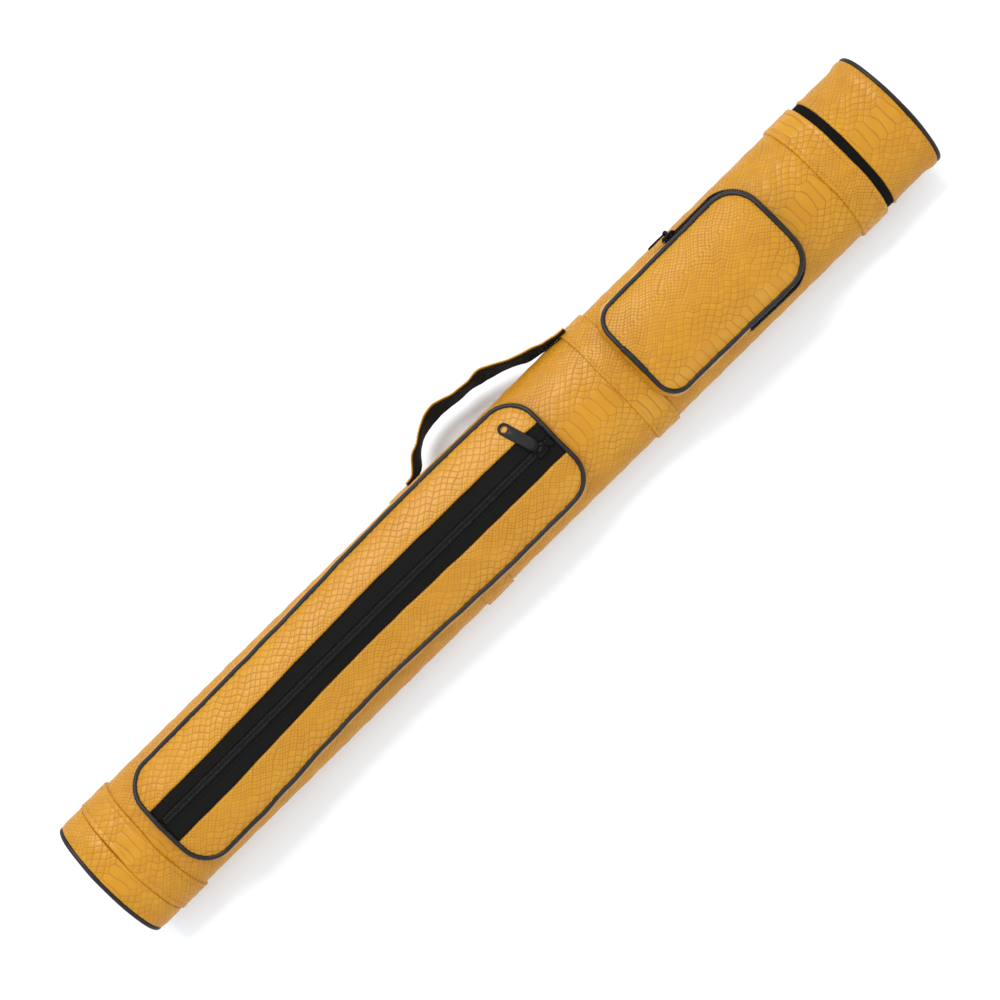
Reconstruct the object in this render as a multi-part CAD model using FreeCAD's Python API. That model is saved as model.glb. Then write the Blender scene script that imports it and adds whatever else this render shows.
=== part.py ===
"""Hard oval cue case with a pull-off cap, a carrying handle and two zipped pockets.

Lengths are in millimetres. The case is drawn about its own tube axis: X runs from the bottom end to the
cap, Y points to the handle side and Z points out of the pocket side. On export everything moves so that the
origin is at the middle of the base of the whole object, which lies on its raised bands.
"""
import FreeCAD, Part
import math
import os

V = FreeCAD.Vector
X_AXIS = V(1, 0, 0)
Z_AXIS = V(0, 0, 1)
CENTRE = V(0, 0, 0)

# Oval tube
CASE_LENGTH = 864.0
CAP_LENGTH = 51.0
NECK_GAP = 8.0
SHELL_WALL = 2.3
COVER_THICKNESS = 1.2
NECK_WALL = 1.5
NECK_INSIDE_SHELL = 73.0
NECK_INSIDE_CAP = 29.0
CAP_CLEARANCE = 0.3
NECK_RING_INSET = 0.6
CAP_REST_GAP = 0.3
END_PLATE = 4.0
END_COVER = 2.0
END_PIPING_LENGTH = 3.5
END_PIPING_PROUD = 0.9
CAP_PAD = 5.0
BOTTOM_PAD = 24.0

# Bands sewn round the body
BAND_THICKNESS = 2.4
BOOT_LENGTH = 22.5
BOOT_PROUD = 0.5
HEM_BAND_LENGTH = 27.0
LOWER_BAND_UNDER_POCKET = 127.3
LOWER_BAND_LENGTH = 28.0
UPPER_BAND_LENGTH = 24.5
COLLAR_LENGTH = 27.0

# Tubes that hold the cue, and the clearances that set the oval round them
BUTT_BORE_R = 15.4
BUTT_TUBE_WALL = 1.3
SHAFT_BORE_R = 9.3
SHAFT_TUBE_WALL = 1.2
SHAFT_GAP = 2.5
BUTT_TO_SHAFT_GAP = 4.55
BUTT_SIDE_CLEARANCE = 3.3
BUTT_CLEARANCE = 0.3
SHAFT_CLEARANCE = 0.75
FACE_PLATE = 3.0
FACE_PLATE_DEPTH = 5.0
SPACER_LENGTH = 40.0

# Long pocket
MAIN_POCKET_GAP = 15.4
MAIN_POCKET_LENGTH = 423.9
MAIN_POCKET_WIDTH = 93.0
MAIN_POCKET_Y = 2.0
MAIN_CORNER_R = 23.0
MAIN_POCKET_FLARE = 10.2
MAIN_POCKET_RISE = 9.0
MAIN_ZIP_Y = 2.2
MAIN_ZIP_TAPE = 31.7

# Short pocket
SMALL_POCKET_LENGTH = 150.0
SMALL_POCKET_WIDTH = 87.4
SMALL_POCKET_Y = 1.3
SMALL_CORNER_LOW_R = 17.0
SMALL_CORNER_HIGH_R = 23.0
SMALL_POCKET_FLARE = 16.4
SMALL_POCKET_RISE = 19.0
SIDE_ZIP_START = 82.0

# Pocket making
PANEL_THICKNESS = 1.6
GUSSET_THICKNESS = 1.6
PIPING_D = 3.8
PIPING_PROUD = 1.2
GUSSET_BULGE = 3.0
GUSSET_TOP_SLOPE = 0.15

# Zips
TAPE_THICKNESS = 0.9
TAPE_TUCK = 3.5
TAPE_SLIT = 0.4
COIL_WIDTH = 6.4
COIL_HEIGHT = 2.0
COIL_END_GAP = 3.5
STOP_LENGTH = 3.0
STOP_OVERHANG = 0.6
SIDE_TAPE_WIDTH = 11.0
SIDE_COIL_WIDTH = 4.8

# Sliders and pulls
RUN_CLEARANCE = 0.3
SLIDER_LENGTH = 12.0
SLIDER_WALL = 1.2
SLIDER_TO_STOP = 2.0
SIDE_SLIDER_FROM_ZIP_END = 6.0
BAR_R = 0.75
BAR_HALF_SPAN = 3.4
POST_THICKNESS = 1.4
PULL_EYE_CLEARANCE = 0.3
PULL_EYE_WALL = 0.75
PULL_WIDTH = 10.0
PULL_ROOT_WIDTH = 4.6
PULL_SHOULDER = 6.0
PULL_THICKNESS = 1.3
PULL_HOLE_R = 3.0
MAIN_PULL_LENGTH = 38.0
MAIN_PULL_LEAN = 16.0
MAIN_PULL_DROOP = 12.0
SIDE_PULL_LENGTH = 18.0

# Handle
STRAP_SPAN = 158.5
STRAP_WIDTH = 25.0
LEATHER_THICKNESS = 2.0
WEBBING_THICKNESS = 1.4
TAIL_THICKNESS = 1.4
TAIL_END_MARGIN = 2.0
HANDLE_DROOP = 12.0
HANDLE_SPLIT_GAP = 0.5
HANDLE_LOW_SPLIT = 11.0
HANDLE_HIGH_SPLIT = 39.0
STRAP_LIFT = 2.6
# Middle line of the strap seen from the pocket side: share of the span, distance out from its roots
STRAP_LINE = (
    (0.0, 0.0),
    (0.04, 3.8),
    (0.083, 11.0),
    (0.16, 19.2),
    (0.25, 25.0),
    (0.32, 26.4),
    (0.41, 23.0),
    (0.51, 21.4),
    (0.61, 20.2),
    (0.70, 13.6),
    (0.81, 5.8),
    (0.91, 1.2),
    (1.0, 0.0),
)

# Stations along the tube
BOTTOM_X = -CASE_LENGTH / 2
TOP_X = CASE_LENGTH / 2
CAP_MOUTH_X = TOP_X - CAP_LENGTH
BODY_MOUTH_X = CAP_MOUTH_X - NECK_GAP
NECK_TOP_X = CAP_MOUTH_X + NECK_INSIDE_CAP
SHELL_X = BOTTOM_X + END_COVER
BOTTOM_FLOOR_X = SHELL_X + END_PLATE + BOTTOM_PAD
TUBE_TOP_X = NECK_TOP_X - FACE_PLATE_DEPTH
COVER_X = BOTTOM_X + END_PIPING_LENGTH + BOOT_LENGTH
CAP_END_X = TOP_X - END_COVER
MAIN_POCKET_X = COVER_X + HEM_BAND_LENGTH + MAIN_POCKET_GAP
LOWER_BAND_X = MAIN_POCKET_X + MAIN_POCKET_LENGTH - LOWER_BAND_UNDER_POCKET
STRAP_X = LOWER_BAND_X + LOWER_BAND_LENGTH
UPPER_BAND_X = STRAP_X + STRAP_SPAN
SMALL_POCKET_X = UPPER_BAND_X + UPPER_BAND_LENGTH

# Tube places about the tube axis: the shafts one above the other, a butt on each side of them
BUTT_TUBE_R = BUTT_BORE_R + BUTT_TUBE_WALL
SHAFT_TUBE_R = SHAFT_BORE_R + SHAFT_TUBE_WALL
SHAFT_Z = SHAFT_TUBE_R + SHAFT_GAP / 2
BUTT_Y = math.sqrt((BUTT_TUBE_R + SHAFT_TUBE_R + BUTT_TO_SHAFT_GAP) ** 2 - SHAFT_Z**2)


def oval_height(half_width, circle_y, radius):
    """Least half height of an oval of that half width that just holds a circle centred on its long axis."""
    total = half_width**2 - circle_y**2 + radius**2
    return math.sqrt((total - math.sqrt(total**2 - 4 * (radius * half_width) ** 2)) / 2)


def grown(half_axes, by):
    """Half axes of an oval that lies a wall's thickness outside another."""
    return (half_axes[0] + by, half_axes[1] + by)


# Half axes of the nested ovals, as (half width, half height), from the tubes outwards
INSIDE_HALF_Y = BUTT_Y + BUTT_TUBE_R + BUTT_SIDE_CLEARANCE
INSIDE_HALF_Z = max(
    SHAFT_Z + SHAFT_TUBE_R + SHAFT_CLEARANCE,
    oval_height(INSIDE_HALF_Y, BUTT_Y, BUTT_TUBE_R + BUTT_CLEARANCE),
)
NECK_INSIDE = (INSIDE_HALF_Y, INSIDE_HALF_Z)
NECK = grown(NECK_INSIDE, NECK_WALL)
SHELL_INSIDE = NECK
SHELL = grown(SHELL_INSIDE, SHELL_WALL)
COVER = grown(SHELL, COVER_THICKNESS)
BAND = grown(COVER, BAND_THICKNESS)
CAP_INSIDE = grown(NECK, CAP_CLEARANCE)
MAIN_CROWN = (COVER[0] + MAIN_POCKET_FLARE, COVER[1] + MAIN_POCKET_RISE)
SMALL_CROWN = (COVER[0] + SMALL_POCKET_FLARE, COVER[1] + SMALL_POCKET_RISE)

# The hinge line of the handle runs along the case's side at the foot of the strap
STRAP_THICKNESS = LEATHER_THICKNESS + WEBBING_THICKNESS
HANDLE_AXIS_Y = COVER[0] + STRAP_LIFT

# Where the base of the whole object is, measured from the tube axis
STRAP_REACH = max(out for share, out in STRAP_LINE) + STRAP_THICKNESS / 2
DROOP = math.radians(HANDLE_DROOP)
HANDLE_TIP_Y = HANDLE_AXIS_Y + STRAP_REACH * math.cos(DROOP) + STRAP_WIDTH / 2 * math.sin(DROOP)
BASE_CENTRE = V(0, (HANDLE_TIP_Y - BAND[0]) / 2, -BAND[1])


def oval(x0, x1, half_axes):
    """Solid oval bar from x0 to x1."""
    curve = Part.Ellipse(V(x0, half_axes[0], 0), V(x0, 0, half_axes[1]), V(x0, 0, 0))
    return Part.Face(Part.Wire([curve.toShape()])).extrude(V(x1 - x0, 0, 0))


def oval_ring(x0, x1, outer, inner):
    """Oval tube from x0 to x1."""
    return oval(x0, x1, outer).cut(oval(x0, x1, inner))


def block(x0, x1, y0, y1, z0, z1):
    """Box between two corners."""
    return Part.makeBox(x1 - x0, y1 - y0, z1 - z0, V(x0, y0, z0))


def rod(start, direction, length, radius):
    """Round bar."""
    return Part.makeCylinder(radius, length, start, direction)


def tube_places():
    """Name, middle, bore radius and outer radius of each of the four tubes."""
    return (
        ("butt_tube_left", BUTT_Y, 0.0, BUTT_BORE_R, BUTT_TUBE_R),
        ("butt_tube_right", -BUTT_Y, 0.0, BUTT_BORE_R, BUTT_TUBE_R),
        ("shaft_tube_upper", 0.0, SHAFT_Z, SHAFT_BORE_R, SHAFT_TUBE_R),
        ("shaft_tube_lower", 0.0, -SHAFT_Z, SHAFT_BORE_R, SHAFT_TUBE_R),
    )


def without_tubes(solid):
    """A plate or foam block with the holes that the four tubes pass through."""
    for name, y, z, bore_r, tube_r in tube_places():
        solid = solid.cut(rod(V(BOTTOM_X, y, z), X_AXIS, CASE_LENGTH, tube_r))
    return solid


def body_parts():
    """Shell, cover, neck and everything inside the tube."""
    parts = {}
    parts["body_shell"] = oval_ring(SHELL_X, BODY_MOUTH_X, SHELL, SHELL_INSIDE)
    parts["body_cover"] = oval_ring(COVER_X, BODY_MOUTH_X, COVER, SHELL)
    neck_x = BODY_MOUTH_X - NECK_INSIDE_SHELL
    parts["neck_sleeve"] = oval_ring(neck_x, NECK_TOP_X, NECK, NECK_INSIDE)
    ring_outside = grown(COVER, -NECK_RING_INSET)
    parts["neck_ring"] = oval_ring(BODY_MOUTH_X, CAP_MOUTH_X - CAP_REST_GAP, ring_outside, NECK)
    plate = oval(TUBE_TOP_X - FACE_PLATE, TUBE_TOP_X, NECK_INSIDE)
    parts["divider_plate"] = without_tubes(plate)
    for name, y, z, bore_r, tube_r in tube_places():
        foot = V(BOTTOM_FLOOR_X, y, z)
        length = TUBE_TOP_X - BOTTOM_FLOOR_X
        outside = rod(foot, X_AXIS, length, tube_r)
        parts[name] = outside.cut(rod(foot, X_AXIS, length, bore_r))
    middle_x = (BOTTOM_FLOOR_X + TUBE_TOP_X - SPACER_LENGTH) / 2
    middle = oval(middle_x, middle_x + SPACER_LENGTH, SHELL_INSIDE)
    parts["tube_spacer_middle"] = without_tubes(middle)
    low = oval(BOTTOM_FLOOR_X, BOTTOM_FLOOR_X + SPACER_LENGTH, SHELL_INSIDE)
    parts["tube_spacer_bottom"] = without_tubes(low)
    plate_top = SHELL_X + END_PLATE
    parts["bottom_plate"] = oval(SHELL_X, plate_top, SHELL_INSIDE)
    parts["bottom_pad"] = oval(plate_top, BOTTOM_FLOOR_X, SHELL_INSIDE)
    parts["bottom_end_cover"] = oval(BOTTOM_X, SHELL_X, SHELL)
    piping_top = BOTTOM_X + END_PIPING_LENGTH
    parts["bottom_piping"] = oval_ring(BOTTOM_X, piping_top, grown(COVER, END_PIPING_PROUD), SHELL)
    parts["bottom_boot"] = oval_ring(piping_top, COVER_X, grown(COVER, BOOT_PROUD), SHELL)
    return parts


def handle_tails():
    """The strap's flat ends, sewn to the side of the case beneath the bands."""
    side = block(BOTTOM_X, TOP_X, 0, BAND[0], -STRAP_WIDTH / 2, STRAP_WIDTH / 2)
    tail_out = grown(COVER, TAIL_THICKNESS)
    low = oval_ring(LOWER_BAND_X + TAIL_END_MARGIN, STRAP_X, tail_out, COVER)
    high_x1 = UPPER_BAND_X + UPPER_BAND_LENGTH - TAIL_END_MARGIN
    high = oval_ring(UPPER_BAND_X, high_x1, tail_out, COVER)
    return {"handle_tail_lower": low.common(side), "handle_tail_upper": high.common(side)}


def band_parts():
    """The raised bands and the collar, each a ring over the cover, with the strap's tails beneath them."""
    tails = handle_tails()
    bands = {
        "bottom_hem_band": (COVER_X, HEM_BAND_LENGTH),
        "handle_lower_band": (LOWER_BAND_X, LOWER_BAND_LENGTH),
        "handle_upper_band": (UPPER_BAND_X, UPPER_BAND_LENGTH),
        "top_collar": (BODY_MOUTH_X - COLLAR_LENGTH, COLLAR_LENGTH),
    }
    parts = {}
    for name, (x0, length) in bands.items():
        parts[name] = oval_ring(x0, x0 + length, BAND, COVER)
    parts["handle_lower_band"] = parts["handle_lower_band"].cut(tails["handle_tail_lower"])
    parts["handle_upper_band"] = parts["handle_upper_band"].cut(tails["handle_tail_upper"])
    parts.update(tails)
    return parts


class Pocket:
    """A pocket's plan, its crowned face and its bulging side wall."""

    def __init__(self, x0, length, y_mid, width, low_r, high_r, crown):
        self.x0 = x0
        self.x1 = x0 + length
        self.y0 = y_mid - width / 2
        self.y1 = y_mid + width / 2
        self.low_r = low_r
        self.high_r = high_r
        self.crown = crown
        self.foot_z = self.height(COVER, width / 2)
        self.edge_z = self.height(crown, width / 2)

    def height(self, half_axes, y):
        """Height of an oval's surface at a distance from its middle plane."""
        return half_axes[1] * math.sqrt(1 - (y / half_axes[0]) ** 2)

    def outline(self, z, grow):
        """Rounded rectangle at height z, grown outwards."""
        x0 = self.x0 - grow
        x1 = self.x1 + grow
        y0 = self.y0 - grow
        y1 = self.y1 + grow
        low = self.low_r + grow
        high = self.high_r + grow
        half = math.sqrt(0.5)
        corners = (
            (V(x0, y0 + low, z), V(x0 + low * (1 - half), y0 + low * (1 - half), z), V(x0 + low, y0, z)),
            (V(x1 - high, y0, z), V(x1 - high * (1 - half), y0 + high * (1 - half), z), V(x1, y0 + high, z)),
            (V(x1, y1 - high, z), V(x1 - high * (1 - half), y1 - high * (1 - half), z), V(x1 - high, y1, z)),
            (V(x0 + low, y1, z), V(x0 + low * (1 - half), y1 - low * (1 - half), z), V(x0, y1 - low, z)),
        )
        edges = []
        for number, (start, middle, end) in enumerate(corners):
            edges.append(Part.Arc(start, middle, end).toShape())
            following = corners[(number + 1) % len(corners)][0]
            edges.append(Part.LineSegment(end, following).toShape())
        return Part.Wire(edges)

    def wall_profile(self):
        """Heights up the side wall, with how far it stands out of the piping line at each."""
        middle_z = (self.foot_z + self.edge_z) / 2
        top_z = self.crown[1] + PIPING_D
        top_in = (top_z - self.edge_z) * GUSSET_TOP_SLOPE
        return ((0.0, GUSSET_BULGE), (middle_z, GUSSET_BULGE), (self.edge_z, 0.0), (top_z, -top_in))

    def bulk(self, grow):
        """Solid of the whole pocket, grown outwards, from the tube axis to above its crown."""
        rings = [self.outline(z, out + grow) for z, out in self.wall_profile()]
        return Part.makeLoft(rings, True, True)

    def layer(self, outer_by, inner_by):
        """Curved sheet between two depths about the crown, over the whole length of the case."""
        return oval_ring(BOTTOM_X, TOP_X, grown(self.crown, outer_by), grown(self.crown, inner_by))


def main_pocket():
    """The long pocket's plan."""
    return Pocket(
        MAIN_POCKET_X,
        MAIN_POCKET_LENGTH,
        MAIN_POCKET_Y,
        MAIN_POCKET_WIDTH,
        MAIN_CORNER_R,
        MAIN_CORNER_R,
        MAIN_CROWN,
    )


def small_pocket():
    """The short pocket's plan."""
    return Pocket(
        SMALL_POCKET_X,
        SMALL_POCKET_LENGTH,
        SMALL_POCKET_Y,
        SMALL_POCKET_WIDTH,
        SMALL_CORNER_LOW_R,
        SMALL_CORNER_HIGH_R,
        SMALL_CROWN,
    )


def pocket_side(pocket, bands):
    """Gusset and piping of a pocket, seated on the case and on any band that runs beneath it."""
    hollow = pocket.bulk(-GUSSET_THICKNESS)
    gusset = pocket.bulk(0).cut(hollow).common(oval(BOTTOM_X, TOP_X, grown(pocket.crown, -PANEL_THICKNESS)))
    gusset = gusset.cut(oval(BOTTOM_X, TOP_X, COVER))
    for x0, length in bands:
        gusset = gusset.cut(oval(x0, x0 + length, BAND))
    cord = pocket.bulk(PIPING_D / 2).cut(pocket.bulk(0))
    piping = cord.common(pocket.layer(PIPING_PROUD, PIPING_PROUD - PIPING_D))
    return upper_half(gusset), upper_half(piping)


def upper_half(solid):
    """The part of a solid on the pocket side of the tube axis."""
    return solid.common(block(BOTTOM_X, TOP_X, -CASE_LENGTH, CASE_LENGTH, 0, CASE_LENGTH))


def strip(pocket, layer, y0, y1, end_gap):
    """A straight strip of a curved layer along a pocket, short of its ends by a gap."""
    cutter = block(pocket.x0 + end_gap, pocket.x1 - end_gap, y0, y1, 0, CASE_LENGTH)
    return layer.common(cutter)


def main_pocket_parts():
    """The long pocket: two face panels with a full-length zip between them."""
    pocket = main_pocket()
    parts = {}
    bands = ((LOWER_BAND_X, LOWER_BAND_LENGTH),)
    parts["main_pocket_gusset"], parts["main_pocket_piping"] = pocket_side(pocket, bands)
    face = upper_half(pocket.bulk(0).common(pocket.layer(0, -PANEL_THICKNESS)))
    slot_low = MAIN_ZIP_Y - MAIN_ZIP_TAPE / 2
    slot_high = MAIN_ZIP_Y + MAIN_ZIP_TAPE / 2
    left_side = block(BOTTOM_X, TOP_X, slot_high, CASE_LENGTH, 0, CASE_LENGTH)
    right_side = block(BOTTOM_X, TOP_X, -CASE_LENGTH, slot_low, 0, CASE_LENGTH)
    parts["main_pocket_panel_left"] = face.common(left_side)
    parts["main_pocket_panel_right"] = face.common(right_side)
    tape = pocket.layer(-PANEL_THICKNESS, -PANEL_THICKNESS - TAPE_THICKNESS)
    tape = tape.common(pocket.bulk(-GUSSET_THICKNESS))
    slit = TAPE_SLIT / 2
    left = (MAIN_ZIP_Y + slit, slot_high + TAPE_TUCK)
    right = (slot_low - TAPE_TUCK, MAIN_ZIP_Y - slit)
    parts["main_zip_tape_left"] = strip(pocket, tape, left[0], left[1], 0)
    parts["main_zip_tape_right"] = strip(pocket, tape, right[0], right[1], 0)
    coil = pocket.layer(COIL_HEIGHT - PANEL_THICKNESS, -PANEL_THICKNESS)
    half_coil = COIL_WIDTH / 2
    parts["main_zip_coil_left"] = strip(pocket, coil, MAIN_ZIP_Y, MAIN_ZIP_Y + half_coil, COIL_END_GAP)
    parts["main_zip_coil_right"] = strip(pocket, coil, MAIN_ZIP_Y - half_coil, MAIN_ZIP_Y, COIL_END_GAP)
    stop_x1 = pocket.x1 - COIL_END_GAP
    across = half_coil + STOP_OVERHANG
    staple = pocket.layer(COIL_HEIGHT - PANEL_THICKNESS + STOP_OVERHANG, -PANEL_THICKNESS)
    crimp = block(stop_x1 - STOP_LENGTH, stop_x1, MAIN_ZIP_Y - across, MAIN_ZIP_Y + across, 0, CASE_LENGTH)
    coils = parts["main_zip_coil_left"].fuse(parts["main_zip_coil_right"])
    parts["main_zip_stop"] = staple.common(crimp).cut(coils)
    return parts


def side_zip_line(pocket):
    """Half axes of the oval that the side zip's middle follows, half way from the case to the crown."""
    return ((COVER[0] + pocket.crown[0]) / 2, (COVER[1] + pocket.crown[1]) / 2)


def side_zip_layer(pocket, width, out0, out1):
    """U-shaped strip of a given height, standing on a pocket's side wall between two depths."""
    above = oval(BOTTOM_X, TOP_X, side_zip_line(pocket))
    below = above.copy()
    above.translate(V(0, 0, width / 2))
    below.translate(V(0, 0, -width / 2))
    band = above.cut(below)
    wall = pocket.bulk(out1).cut(pocket.bulk(out0))
    start = pocket.x0 + SIDE_ZIP_START
    beyond = block(start, TOP_X, -CASE_LENGTH, CASE_LENGTH, 0, CASE_LENGTH)
    return wall.common(band).common(beyond)


def small_pocket_parts():
    """The short pocket: one face panel, and a zip round three sides of its wall."""
    pocket = small_pocket()
    parts = {}
    bands = ((UPPER_BAND_X, UPPER_BAND_LENGTH),)
    parts["small_pocket_gusset"], parts["small_pocket_piping"] = pocket_side(pocket, bands)
    parts["small_pocket_panel"] = upper_half(pocket.bulk(0).common(pocket.layer(0, -PANEL_THICKNESS)))
    coil_out = TAPE_THICKNESS + COIL_HEIGHT
    parts["side_zip_tape"] = side_zip_layer(pocket, SIDE_TAPE_WIDTH, 0, TAPE_THICKNESS)
    parts["side_zip_coil"] = side_zip_layer(pocket, SIDE_COIL_WIDTH, TAPE_THICKNESS, coil_out)
    return parts


def pull_tab(length):
    """Flat metal tab with an eye near its tip, from the bar out along +Y."""
    eye_out = BAR_R + PULL_EYE_CLEARANCE + PULL_EYE_WALL
    tip_r = PULL_WIDTH / 2
    root = PULL_ROOT_WIDTH / 2
    low = -PULL_THICKNESS / 2
    points = (V(-root, eye_out, low), V(-tip_r, PULL_SHOULDER, low), V(-tip_r, length - tip_r, low))
    mirrored = [V(-point.x, point.y, low) for point in reversed(points)]
    edges = [Part.LineSegment(points[0], points[1]).toShape()]
    edges.append(Part.LineSegment(points[1], points[2]).toShape())
    edges.append(Part.Arc(points[2], V(0, length, low), mirrored[0]).toShape())
    edges.append(Part.LineSegment(mirrored[0], mirrored[1]).toShape())
    edges.append(Part.LineSegment(mirrored[1], mirrored[2]).toShape())
    edges.append(Part.LineSegment(mirrored[2], points[0]).toShape())
    blade = Part.Face(Part.Wire(edges)).extrude(V(0, 0, PULL_THICKNESS))
    hole = rod(V(0, length - tip_r, -PULL_THICKNESS), Z_AXIS, 2 * PULL_THICKNESS, PULL_HOLE_R)
    return blade.cut(hole)


def pull(length, lean, droop):
    """Pull that hangs on a bar along X: a sleeve round the bar and the tab, leaning and drooping."""
    tab = pull_tab(length)
    tab.rotate(CENTRE, Z_AXIS, lean)
    tab.rotate(CENTRE, X_AXIS, -droop)
    eye_out = BAR_R + PULL_EYE_CLEARANCE + PULL_EYE_WALL
    start = V(-PULL_ROOT_WIDTH / 2, 0, 0)
    sleeve = rod(start, X_AXIS, PULL_ROOT_WIDTH, eye_out)
    bore = rod(V(-PULL_WIDTH, 0, 0), X_AXIS, 2 * PULL_WIDTH, BAR_R + PULL_EYE_CLEARANCE)
    root = PULL_ROOT_WIDTH / 2
    neck = block(-root, root, 0, 2 * eye_out, -PULL_THICKNESS / 2, PULL_THICKNESS / 2)
    neck.rotate(CENTRE, X_AXIS, -droop)
    return sleeve.fuse(neck).fuse(tab).cut(bore).removeSplitter()


def bar_height():
    """Height of the bridge bar above the coil's top."""
    eye_out = BAR_R + PULL_EYE_CLEARANCE + PULL_EYE_WALL
    return RUN_CLEARANCE + SLIDER_WALL + eye_out + RUN_CLEARANCE


def bridge():
    """Bar along X on two posts, that holds the pull to the slider."""
    top = bar_height() + BAR_R
    foot = RUN_CLEARANCE + SLIDER_WALL
    bar = rod(V(-BAR_HALF_SPAN, 0, bar_height()), X_AXIS, 2 * BAR_HALF_SPAN, BAR_R)
    inner = BAR_HALF_SPAN - POST_THICKNESS / 2
    outer = BAR_HALF_SPAN + POST_THICKNESS / 2
    front = block(inner, outer, -BAR_R, BAR_R, foot, top)
    back = block(-outer, -inner, -BAR_R, BAR_R, foot, top)
    return bar.fuse(front).fuse(back)


def slider_saddle():
    """Channel that straddles the coil, its middle on the coil's top."""
    inner = COIL_WIDTH / 2 + RUN_CLEARANCE
    outer = inner + SLIDER_WALL
    half = SLIDER_LENGTH / 2
    top = RUN_CLEARANCE + SLIDER_WALL
    low = RUN_CLEARANCE - COIL_HEIGHT + PANEL_THICKNESS / 2
    saddle = block(-half, half, -outer, outer, low, top)
    channel = block(-half, half, -inner, inner, low, RUN_CLEARANCE)
    return saddle.cut(channel)


def main_slider_place():
    """Middle of the coil's top under the long zip's slider, when the zip is shut."""
    pocket = main_pocket()
    x = pocket.x1 - COIL_END_GAP - STOP_LENGTH - SLIDER_TO_STOP - SLIDER_LENGTH / 2
    return V(x, MAIN_ZIP_Y, MAIN_CROWN[1] - PANEL_THICKNESS + COIL_HEIGHT)


def side_slider_place():
    """Middle of the coil's top under the short zip's slider, on the handle side of the short pocket."""
    pocket = small_pocket()
    x = pocket.x0 + SIDE_ZIP_START + SIDE_SLIDER_FROM_ZIP_END
    y = pocket.y1 + GUSSET_BULGE + TAPE_THICKNESS + COIL_HEIGHT
    z = pocket.height(side_zip_line(pocket), y - COIL_HEIGHT / 2)
    return V(x, y, z)


def slider_parts():
    """The two zip sliders, each with its pull on a separate body."""
    parts = {}
    main_slider = slider_saddle().fuse(bridge()).removeSplitter()
    main_pull = pull(MAIN_PULL_LENGTH, MAIN_PULL_LEAN, MAIN_PULL_DROOP)
    main_pull.translate(V(0, 0, bar_height()))
    for name, solid in (("main_slider", main_slider), ("main_pull", main_pull)):
        solid.translate(main_slider_place())
        parts[name] = solid
    turned_bridge = bridge()
    turned_bridge.rotate(CENTRE, Z_AXIS, 90)
    side_slider = slider_saddle().fuse(turned_bridge).removeSplitter()
    side_pull = pull(SIDE_PULL_LENGTH, 0, 0)
    side_pull.translate(V(0, 0, bar_height()))
    side_pull.rotate(CENTRE, Z_AXIS, 90)
    for name, solid in (("side_slider", side_slider), ("side_pull", side_pull)):
        solid.rotate(CENTRE, X_AXIS, -90)
        solid.translate(side_slider_place())
        parts[name] = solid
    return parts


def strap_edge(offset):
    """Points of a line that runs beside the strap's middle line, offset away from the case."""
    middle = [V(STRAP_X + share * STRAP_SPAN, HANDLE_AXIS_Y + out, 0) for share, out in STRAP_LINE]
    points = []
    for number, point in enumerate(middle):
        before = middle[max(number - 1, 0)]
        after = middle[min(number + 1, len(middle) - 1)]
        along = (after - before).normalize()
        if number in (0, len(middle) - 1):
            along = X_AXIS
        points.append(point + V(-along.y, along.x, 0) * offset)
    return points


def strap_layer(offset0, offset1):
    """A layer of the strap between two offsets from its middle line, standing on edge."""
    near = Part.BSplineCurve()
    near.interpolate(strap_edge(offset0))
    far = Part.BSplineCurve()
    far.interpolate(strap_edge(offset1))
    low_end = Part.LineSegment(near.StartPoint, far.StartPoint)
    high_end = Part.LineSegment(far.EndPoint, near.EndPoint)
    outline = Part.Wire([near.toShape(), high_end.toShape(), far.toShape(), low_end.toShape()])
    layer = Part.Face(outline).extrude(V(0, 0, STRAP_WIDTH))
    layer.translate(V(0, 0, -STRAP_WIDTH / 2))
    return layer


def handle_parts():
    """The carrying strap: a swinging grip, and a short root at each end that stays on the case."""
    grip_x0 = STRAP_X + HANDLE_LOW_SPLIT
    grip_x1 = STRAP_X + STRAP_SPAN - HANDLE_HIGH_SPLIT
    grip = block(grip_x0, grip_x1, 0, CASE_LENGTH, -STRAP_WIDTH, STRAP_WIDTH)
    low = block(STRAP_X, grip_x0 - HANDLE_SPLIT_GAP, 0, CASE_LENGTH, -STRAP_WIDTH, STRAP_WIDTH)
    high_x0 = grip_x1 + HANDLE_SPLIT_GAP
    high = block(high_x0, UPPER_BAND_X, 0, CASE_LENGTH, -STRAP_WIDTH, STRAP_WIDTH)
    inner_face = -STRAP_THICKNESS / 2
    webbing_face = inner_face + WEBBING_THICKNESS
    webbing = strap_layer(inner_face, webbing_face)
    leather = strap_layer(webbing_face, STRAP_THICKNESS / 2)
    parts = {
        "handle_leather": leather.common(grip),
        "handle_webbing": webbing.common(grip),
        "handle_root_lower": leather.common(low),
        "handle_root_upper": leather.common(high),
        "webbing_root_lower": webbing.common(low),
        "webbing_root_upper": webbing.common(high),
    }
    for solid in parts.values():
        solid.rotate(V(0, HANDLE_AXIS_Y, 0), X_AXIS, -HANDLE_DROOP)
    return parts


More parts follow.
